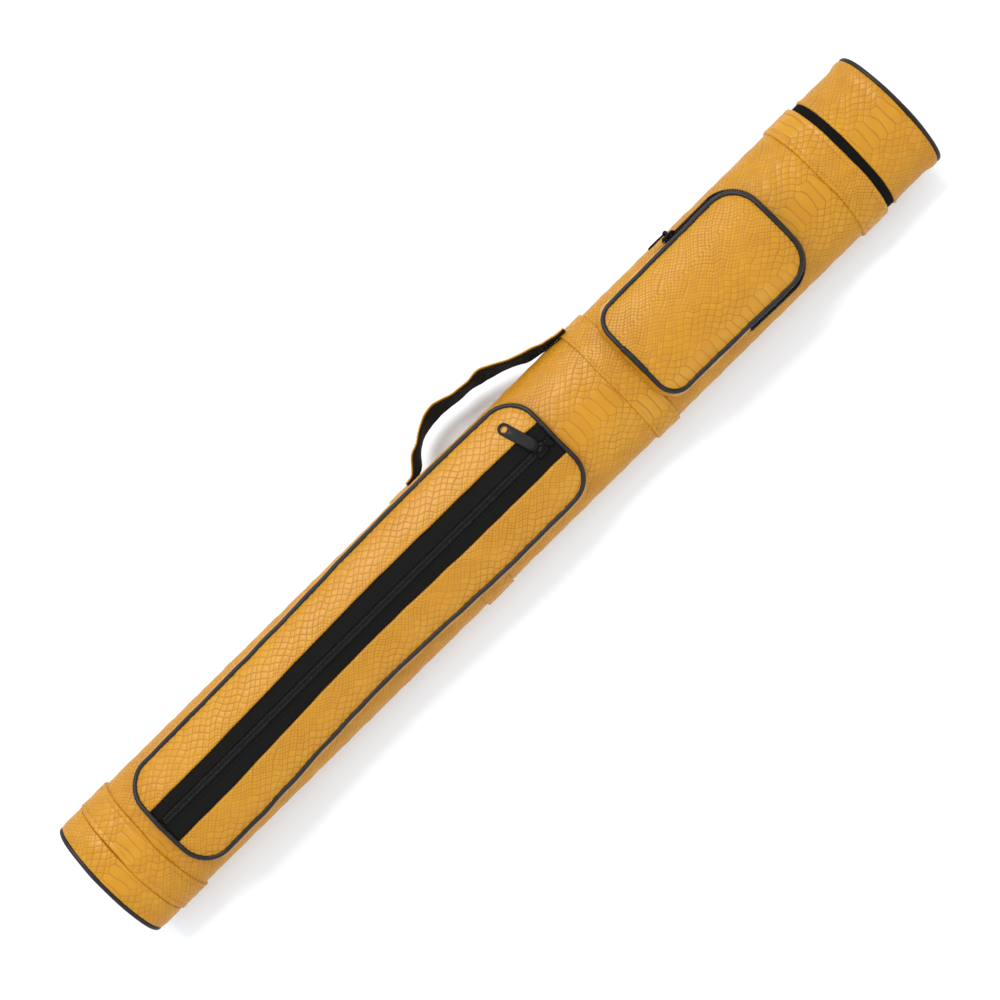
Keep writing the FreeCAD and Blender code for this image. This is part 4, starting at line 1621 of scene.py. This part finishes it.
@dataclass
class ShortPocket:
    """The short pocket: a padded face, a tall wall and a zip round the cap's end of it."""

    layout: Layout
    finishes: Finishes
    places: tuple = in_mm(143, 170, 200, 230, 262, 295)
    low_edge: tuple = in_mm(0.6, 0.5, 0.2, 0.0, -0.6, -1.0)
    high_edge: tuple = in_mm(-1.0, -0.7, -0.3, 0.0, 0.0, 0.8)
    zip_start: float = 226.0 * MM
    tape_half: float = 5.5 * MM
    coil_half: float = 2.4 * MM
    pocket: Pocket = field(init=False)

    def build(self) -> None:
        """Makes the pocket's pieces."""
        y_mid, half_width = self.layout.y(1.3 * MM), 43.7 * MM
        plan = Plan(144 * MM, 294 * MM, y_mid - half_width, y_mid + half_width, 17 * MM, 23 * MM)
        crown = Oval(70.9 * MM, 47.0 * MM, self.layout.axis_y, self.layout.axis_z)
        sway = Sway(self.places, self.low_edge, self.high_edge)
        shape = (plan, crown, sway, -40 * MM, 31 * MM, 0.8 * MM)
        self.pocket = Pocket(self.layout, self.finishes, "small_pocket", *shape)
        settle(self.pocket.wall(), "case_body", "leatherette", "small_pocket_gusset")
        settle(self.pocket.piping(), "case_body", "piping", "small_pocket_piping")
        x = plan.stations(0.85 * MM)
        reach = plan.reach(x)
        face = self.pocket.face("small_pocket_face", plan.y0 + reach, plan.y1 - reach, x, 0)
        settle(face, "case_body", "leatherette", "small_pocket_panel")
        self.join()
        self.side_zip()

    def join(self) -> None:
        """The overlap of the piping's two ends: a slightly thicker sleeve over the cord."""
        line = self.pocket.cord_line()
        reach = int(14 * MM / lengths_of(line)[1])
        part = np.concatenate([line[-reach:], line[: reach + 1]]) + 0.15 * MM * UP
        section = round_section(self.pocket.cord_radius + 0.4 * MM, 16)
        piece = carry("small_pocket_cord_join", part, UP, section, self.finishes.piping)
        settle(piece, "case_body", "piping")

    def side_zip(self) -> None:
        """The zip on the wall, round three sides: a tape and two rows of ribs on an oval half way up."""
        pocket, lay = self.pocket, self.layout
        ring = pocket.plan.ring(0.9 * MM)
        kept = ring[0] > self.zip_start
        x, y, out_x, out_y, walked = (part[: len(kept)][kept, None] for part in ring)
        z = Oval(62.7 * MM, 37.5 * MM, lay.axis_y, lay.axis_z).height(y + out_y * 4.9 * MM)
        top, foot = pocket.crown.height(y), lay.cover.height(y + out_y * 1.5 * MM)

        def on_wall(lift: Array | float, out: float) -> Array:
            """Places that lie a lift above the zip's middle and a distance out of the wall."""
            out = pocket.bulged((z + lift - foot) / (top - foot)) + out
            px, py = x + out_x * out, y + out_y * out
            return stacked(px, pocket.strayed(px, py), z + lift)

        lift = np.linspace(-self.tape_half, self.tape_half, 11)[None, :]
        grid = np.broadcast_arrays(walked, lift)
        tape = grid_piece("side_zip_cloth", on_wall(lift, 1.4 * MM), *grid, self.finishes.tape)
        thicken(tape, 0.7 * MM)
        settle(tape, "case_body", "zip_tape", "side_zip_tape")
        line, up = on_wall(0.0, 1.9 * MM)[:, 0], stacked(out_x, out_y, 0.0)[:, 0]
        for side, label in ((1, "upper"), (-1, "lower")):
            name = "side_zip_teeth_" + label
            teeth = zip_teeth(name, line, up, side, self.coil_half, self.finishes.coil)
            settle(teeth, "case_body", "zip_coil", "side_zip_coil")


@dataclass
class Tube:
    """The case's tube: skin, bands, boot, collar, end cover and the piping round its bottom."""

    layout: Layout
    finishes: Finishes
    belly: float = -6.5 * MM
    tail_half: float = 13.5 * MM
    tail_seam_half: float = 10 * MM
    tail_seam_in: float = 3.5 * MM

    def build(self) -> None:
        """Makes the tube's pieces."""
        lay, cover, leather = self.layout, self.layout.cover, self.finishes.leatherette
        breaks = (lay.cover_x[0], sum(lay.low_band_x) / 2, sum(lay.high_band_x) / 2, lay.cover_x[1])
        plain = Fold(edge=0.6 * MM, ripple=0.3 * MM)
        levels, step = (-1.1 * MM, 0.0), 1.05 * MM
        for label, span in zip(("low", "middle", "high"), zip(breaks, breaks[1:])):
            name = "skin_" + label
            skin = wrapped(name, cover, span, levels, leather, plain, self.belly, 2 * MM, step=step)
            settle(skin, "case_body", "leatherette", "body_cover")
        hem = Fold(edge=1.2 * MM, lip=0.35 * MM, stitch_in=4.6 * MM, wander=0.7 * MM, ripple=0.3 * MM)
        self.band("hem_band", "bottom_hem_band", lay.hem_x, hem, 9 * MM, 40 * MM, True)
        strap_band = Fold(
            edge=1.0 * MM, lip=0.15 * MM, stitch_in=3.4 * MM, wander=0.6 * MM, ripple=0.3 * MM
        )
        self.band("low_band", "handle_lower_band", lay.low_band_x, strap_band, 30 * MM, 17 * MM, False)
        self.band("high_band", "handle_upper_band", lay.high_band_x, strap_band, -33 * MM, 51 * MM, False)
        self.band("collar", "top_collar", lay.collar_x, hem, 48 * MM, 3 * MM, True)
        boot = Fold(edge=1.0 * MM, ripple=0.35 * MM)
        shape = (cover, lay.boot_x, (-1.0 * MM, 0.7 * MM), leather, boot, -5 * MM, 60 * MM)
        piece = wrapped("boot", *shape, swell=self.boot_swell)
        settle(piece, "case_body", "leatherette", "bottom_boot")
        self.end()
        self.tails()

    def boot_swell(self, x: Array, s: Array) -> Array:
        """The boot's soft bulge, a half sine along it."""
        x0, x1 = self.layout.boot_x
        return 0.8 * MM * np.sin(math.pi * (x - x0) / (x1 - x0))

    def band(
        self, name: str, node: str, span: tuple, fold: Fold, belly: float, shift: float, doubled: bool
    ) -> None:
        """One wrapped band with its seams.

        Args:
            name: its name.
            node: the frame node that it stands for.
            span: where it starts and ends.
            fold: the make of its edges.
            belly: place of a belly line round it.
            shift: shift of the emboss along it.
            doubled: whether each seam has two rows.
        """
        cover = self.layout.cover
        levels, leather = (-0.2 * MM, 1.9 * MM), self.finishes.leatherette
        piece = wrapped(name, cover, span, levels, leather, fold, belly, shift, step=0.9 * MM)
        settle(piece, "case_body", "leatherette", node)
        rows = (fold.stitch_in, fold.stitch_in + 4.2 * MM) if doubled else (fold.stitch_in,)
        for number, inset in enumerate(rows):
            for end, x in (("a", span[0] + inset), ("b", span[1] - inset)):
                label, thread = f"{name}_seam_{end}{number}", self.finishes.thread
                seam = oval_seam(label, cover, x, 1.95 * MM, thread, fold, span[0])
                settle(seam, "case_body", "leatherette")

    def end(self) -> None:
        """The bottom's end cover and its round piping."""
        lay, x = self.layout, self.layout.bottom_x
        inner = Oval(53.2 * MM, 26.7 * MM, lay.axis_y, lay.axis_z)
        disc = end_disc("bottom_end_skin", inner, x + 1.4 * MM, -1, 0.9 * MM, self.finishes.leatherette)
        thicken(disc, 0.8 * MM)
        settle(disc, "case_body", "leatherette", "bottom_end_cover")
        cord = end_cord("bottom_cord", lay, x + 2.0 * MM, self.finishes.piping)
        settle(cord, "case_body", "piping", "bottom_piping")

    def tails(self) -> None:
        """The strap's two leather ends, flat on the handle side, each with a box of stitches."""
        cover, half = self.layout.cover, self.tail_half
        quarter = cover.girth / 4
        for label in ("lower", "upper"):
            low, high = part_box(f"handle_tail_{label}")
            top = high.y - self.layout.axis_y - cover.half_y
            x = spread(low.x, high.x, 0.9 * MM)[:, None]
            s = quarter + spread(-half, half, 0.9 * MM)[None, :]
            edge = np.minimum(np.minimum(x - low.x, high.x - x), half - np.abs(s - quarter))
            out = top - 1.0 * MM * (1 - np.sqrt(np.clip(edge / (1.4 * MM), 0, 1)))
            out = out + 0.22 * MM * EMBOSS.height(x, s) + 0.3 * MM * ripple(x, s, 17 * MM, 1.0)
            points, grid = stacked(x, *cover.at(s + 0 * x, out)), np.broadcast_arrays(x, s)
            piece = grid_piece("strap_tail_" + label, points, *grid, self.finishes.leatherette)
            thicken(piece, 1.3 * MM)
            settle(piece, "case_body", "leatherette", "handle_tail_" + label)
            self.tail_seam(label, low.x, high.x, top)

    def tail_seam(self, label: str, low_x: float, high_x: float, top: float) -> None:
        """The box of stitches on one leather end.

        Args:
            label: which end it is.
            low_x: where the leather starts along the case.
            high_x: where it ends.
            top: height of the leather above the cover.
        """
        cover = self.layout.cover
        x = np.array([low_x, high_x, high_x, low_x, low_x])
        x = x + self.tail_seam_in * np.array([1, -1, -1, 1, 1])
        s = cover.girth / 4 + self.tail_seam_half * np.array([-1, -1, 1, 1, -1])
        x, s = read_at(np.linspace(0, 4, 400), np.arange(5), stacked(x, s)).T
        y, z = cover.at(s, np.full_like(s, top + 0.15 * MM))
        y_out, z_out = cover.at(s, np.full_like(s, top + 1.15 * MM))
        line, up = stacked(x, y, z), stacked(0.0, y_out - y, z_out - z)
        seam = stitches(f"strap_tail_{label}_seam", line, up, self.finishes.thread)
        settle(seam, "case_body", "leatherette")


def end_cord(name: str, layout: Layout, x: float, finish: Material) -> Piece:
    """Round piping all round an end of the case.

    Args:
        name: the piece's name.
        layout: the case's layout.
        x: place of its middle line along the case.
        finish: the vinyl.

    Returns:
        The cord.
    """
    cover = layout.cover
    s = np.linspace(-cover.girth / 2, cover.girth / 2, 281)[:-1]
    y, z = cover.at(s, -0.9 * MM + 0.15 * MM * ripple(s, 0.0, 53 * MM, x * 9))
    line = stacked(x + 0.25 * MM * ripple(s, 0.0, 61 * MM, x * 5), y, z)
    return carry(name, line, np.array([1.0, 0, 0]), round_section(2.0 * MM, 16), finish, True)


@dataclass
class Strap:
    """The carrying strap: leather outside and webbing inside, sewn together and held at both ends."""

    layout: Layout
    finishes: Finishes
    x0: float = -39.0 * MM
    x1: float = 119.5 * MM
    hinge_y: float = 57.1 * MM
    droop: float = 12.0
    width: float = 25.0 * MM
    outer: float = 0.75 * MM
    seam_in: float = 2.6 * MM
    wave_span: float = 0.16
    line: tuple = (
        (-0.05, -0.9), (0.0, -0.5), (0.04, 3.4), (0.083, 11.0), (0.16, 19.2), (0.25, 25.0), (0.32, 26.4),
        (0.41, 23.0), (0.51, 21.4), (0.61, 20.2), (0.70, 13.6), (0.81, 5.8), (0.91, 1.2), (1.0, -0.5),
        (1.04, -0.9),
    )
    twist_at: tuple = (-0.02, 0.06, 0.13, 0.30, 0.44, 0.51, 0.59, 0.74, 0.83, 0.92, 1.0)
    twist: tuple = (-11.0, 5.0, -6.0, 8.0, -1.0, -3.0, 7.0, -3.0, 2.0, -4.0, -11.0)

    def middle(self, count: int) -> tuple[Array, Array, Array]:
        """The strap's middle line: a smooth curve through its stations, made by a moving weighted average.

        Args:
            count: points along it.

        Returns:
            The points in the frame, the outward direction at each, and the share of the span.
        """
        share = np.linspace(self.line[0][0], self.line[-1][0], 640)
        out = np.interp(share, [place for place, _ in self.line], [rise for _, rise in self.line]) * MM
        kernel = np.hanning(33)
        kernel /= kernel.sum()
        padded = np.concatenate([np.full(16, out[0]), out, np.full(16, out[-1])])
        out = np.convolve(padded, kernel, "valid")
        x = self.x0 + share * (self.x1 - self.x0)
        walked = running(np.hypot(np.diff(x), np.diff(out)))
        even = np.linspace(0, walked[-1], count)
        x, out, share = read_at(even, walked, stacked(x, out, share)).T
        cos, sin = math.cos(math.radians(self.droop)), math.sin(math.radians(self.droop))
        line = stacked(x, self.layout.y(self.hinge_y) + out * cos, self.layout.axis_z - out * sin)
        return line, unit(stacked(-np.gradient(out, x), cos, -sin)), share

    def turned(self, share: Array) -> Array:
        """Twist of the strap at a share of its span, in radians."""
        return np.radians(smooth_line(share, self.twist_at, self.twist))

    def wave(self, share: Array) -> Array:
        """Small rise and fall at a share of the span."""
        return 0.35 * MM * ripple(share * self.wave_span, 0.0, 27 * MM, 0.4)

    def layer(
        self, name: str, offset: float, width: float, thickness: float, finish: Material, nodes: tuple
    ) -> Piece:
        """One layer of the strap, carried along its middle line.

        Args:
            name: the piece's name.
            offset: how far outside the middle line it lies.
            width: its width.
            thickness: its thickness.
            finish: its material.
            nodes: the frame nodes that it stands for.

        Returns:
            The layer.
        """
        line, normal, share = self.middle(230)
        path = line + normal * (offset + self.wave(share))[:, None]
        section = strip_section(width, thickness, 44)
        piece = carry(name, path, normal, section, finish, turned=self.turned(share))
        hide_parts(*nodes)
        self.bend(piece)
        return piece

    def bend(self, piece: Piece) -> None:
        """Bakes a piece's placement into its mesh."""
        foot = self.layout.y(self.hinge_y)
        end = (0.0, foot + 13 * MM, self.layout.axis_z - 2.8 * MM)
        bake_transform(piece)

    def build(self) -> None:
        """Makes the strap's layers and its seams."""
        leather_nodes = ("handle_leather", "handle_root_lower", "handle_root_upper")
        webbing_nodes = ("handle_webbing", "webbing_root_lower", "webbing_root_upper")
        leather, webbing = self.finishes.leatherette, self.finishes.webbing
        layer = self.layer("strap_leather", self.outer, self.width, 1.9 * MM, leather, leather_nodes)
        inner, inner_width = -0.95 * MM, self.width - 1.4 * MM
        layer = self.layer("strap_webbing", inner, inner_width, 1.5 * MM, webbing, webbing_nodes)
        self.seams()

    def seams(self) -> None:
        """The two rows of stitches along the leather's edges."""
        line, normal, share = self.middle(700)
        turned = self.turned(share)[:, None]
        side = unit(np.cross(np.gradient(line, axis=0), normal))
        wide = side * np.cos(turned) + normal * np.sin(turned)
        out = normal * np.cos(turned) - side * np.sin(turned)
        middle = line + normal * (self.outer + self.wave(share))[:, None] + out * 0.9 * MM
        across = self.width / 2 - self.seam_in
        for label, place in (("a", middle - wide * across), ("b", middle + wide * across)):
            seam = stitches("strap_seam_" + label, place[8:-8], out[8:-8], self.finishes.thread)
            self.bend(seam)


@dataclass
class Cap:
    """The cap that slips off the neck: its skin, end cover and piping."""

    layout: Layout
    finishes: Finishes

    def hollow(self, x: Array, s: Array) -> Array:
        """The cap's slight waist, a half sine along it, with a swell near the top piping."""
        x0, x1 = self.layout.cap_x
        share = (x - x0) / (x1 - x0)
        return -0.7 * MM * np.sin(math.pi * share) + 1.1 * MM * hump(share - 0.9, 0.09)

    def build(self) -> None:
        """Makes the cap's pieces."""
        lay, leather = self.layout, self.finishes.leatherette
        fold = Fold(edge=1.3 * MM, lip=0.4 * MM, ripple=0.3 * MM, wander=0.3 * MM)
        shape = (lay.cover, lay.cap_x, (-1.0 * MM, 0.15 * MM), leather, fold, -1.5 * MM, 36 * MM)
        skin = wrapped("cap_skin", *shape, step=0.9 * MM, swell=self.hollow)
        settle(skin, "cap", "leatherette", "cap_cover")
        inner = Oval(53.2 * MM, 26.7 * MM, lay.axis_y, lay.axis_z)
        disc = end_disc("cap_end_skin", inner, lay.top_x - 1.4 * MM, 1, 0.9 * MM, leather)
        thicken(disc, 0.8 * MM)
        settle(disc, "cap", "leatherette", "cap_end_cover")
        cord = end_cord("cap_cord", lay, lay.top_x - 2.0 * MM, self.finishes.piping)
        settle(cord, "cap", "piping", "cap_piping")


@dataclass
class Interior:
    """The frame nodes that keep their own shapes: shells, neck, tubes, plates and foam."""

    finishes: Finishes

    def dress(self) -> None:
        """Gives each node its finish."""
        finishes = self.finishes
        worn = {
            finishes.shell: ("body_shell", "cap_shell", "bottom_plate", "cap_end_plate"),
            finishes.neck: ("neck_sleeve", "divider_plate"),
            finishes.tube: ("butt_tube_left", "butt_tube_right", "shaft_tube_upper", "shaft_tube_lower"),
            finishes.foam: (
                "neck_ring", "tube_spacer_middle", "tube_spacer_bottom", "bottom_pad", "cap_pad",
            ),
        }
        for finish, names in worn.items():
            for name in names:
                dress(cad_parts[name], finish)
                LOG.info("%s dressed in %s", name, finish.name)


@dataclass
class Studio:
    """Camera straight above, pale floor and soft lights."""

    layout: Layout
    tilt: float = 44.63
    height: float = 1.3
    lens: float = 59.5
    drop: float = 4.7 * MM

    def camera(self) -> None:
        """The camera, turned so that the case runs from low left to high right."""
        turn = math.radians(self.tilt)
        up = np.array([math.sin(turn), math.cos(turn), 0.0])
        place = np.array([0.0, self.layout.axis_y, self.layout.axis_z]) - up * self.drop
        place[2] += self.height
        data = bpy.data.cameras.new("camera")
        data.lens, data.sensor_width = self.lens, 36.0
        camera = bpy.data.objects.new("camera", data)
        camera.location = place
        camera.rotation_euler = (0.0, 0.0, -turn)
        bpy.context.scene.collection.objects.link(camera)
        bpy.context.scene.camera = camera

    def floor(self) -> None:
        """A wide pale floor, which dips a little far out so that it has no visible edge."""
        x, y = crossed(np.linspace(-6, 6, 41), np.linspace(-6, 6, 41))
        z = -0.0006 - 0.002 * np.hypot(x, y) ** 2
        graph = Graph("floor")
        cloud = graph.noise(3.0, 2.0)
        graph.surface(
            Base_Color=graph.mix(cloud, linear(242, 247, 252), linear(245, 249, 253)),
            Roughness=0.9,
            Specular_IOR_Level=0.1,
        )
        grid_piece("floor", stacked(x, y, z), x, y, graph.material)

    def lamp(self, name: str, y: float, z: float, size: tuple[float, float], watts: float) -> None:
        """A soft box above the case, long beside it and turned to face its middle.

        Args:
            name: its name.
            y: how far to the handle side it stands.
            z: its height.
            size: its length along the case and its width.
            watts: its power.
        """
        data = bpy.data.lights.new(name, "AREA")
        data.shape = "RECTANGLE"
        data.size, data.size_y = size
        data.energy = watts
        lamp = bpy.data.objects.new(name, data)
        lamp.location = (0.0, y, z)
        lamp.rotation_euler = (math.atan2(-y, z), 0.0, 0.0)
        bpy.context.scene.collection.objects.link(lamp)

    def build(self) -> None:
        """Sets the scene."""
        bpy.context.scene.view_settings.view_transform = "Standard"
        self.camera()
        self.floor()
        self.lamp("key", 1.05, 1.35, (1.2, 0.6), 21.0)
        self.lamp("fill", -1.25, 1.2, (1.4, 0.5), 4.3)
        world = bpy.data.worlds.new("studio")
        world.use_nodes = True
        background = world.node_tree.nodes["Background"]
        background.inputs["Color"].default_value = (1.0, 1.0, 1.0, 1.0)
        background.inputs["Strength"].default_value = 1.0
        bpy.context.scene.world = world


def main() -> None:
    """Builds the case and its studio."""
    logging.basicConfig(level=logging.INFO, format="%(name)s %(message)s")
    layout, finishes = Layout(), Finishes()
    Studio(layout).build()
    Tube(layout, finishes).build()
    LongPocket(layout, finishes).build()
    ShortPocket(layout, finishes).build()
    main_turn = turned_about(0, -12.0) @ turned_about(2, 16.0)
    main_place = np.array([45.8 * MM, layout.y(2.2 * MM), layout.axis_z + 37.4 * MM])
    ZipSlider(
        "main_zip", "main_slider", "main_pull", main_place, np.eye(3), main_turn, 38 * MM, finishes
    ).build("main_zip_slider", "main_zip_pull")
    side_turn = turned_about(0, -90.0)
    side_place = np.array([232 * MM, layout.y(50.9 * MM), layout.axis_z + 22.7 * MM])
    ZipSlider(
        "side_zip", "side_slider", "side_pull", side_place, side_turn, side_turn @ turned_about(2, 90.0),
        18 * MM, finishes, bar_turn=turned_about(2, 90.0),
    ).build("side_zip_slider", "side_zip_pull")
    Strap(layout, finishes).build()
    Cap(layout, finishes).build()
    Interior(finishes).dress()


if __name__ == "__main__":
    main()
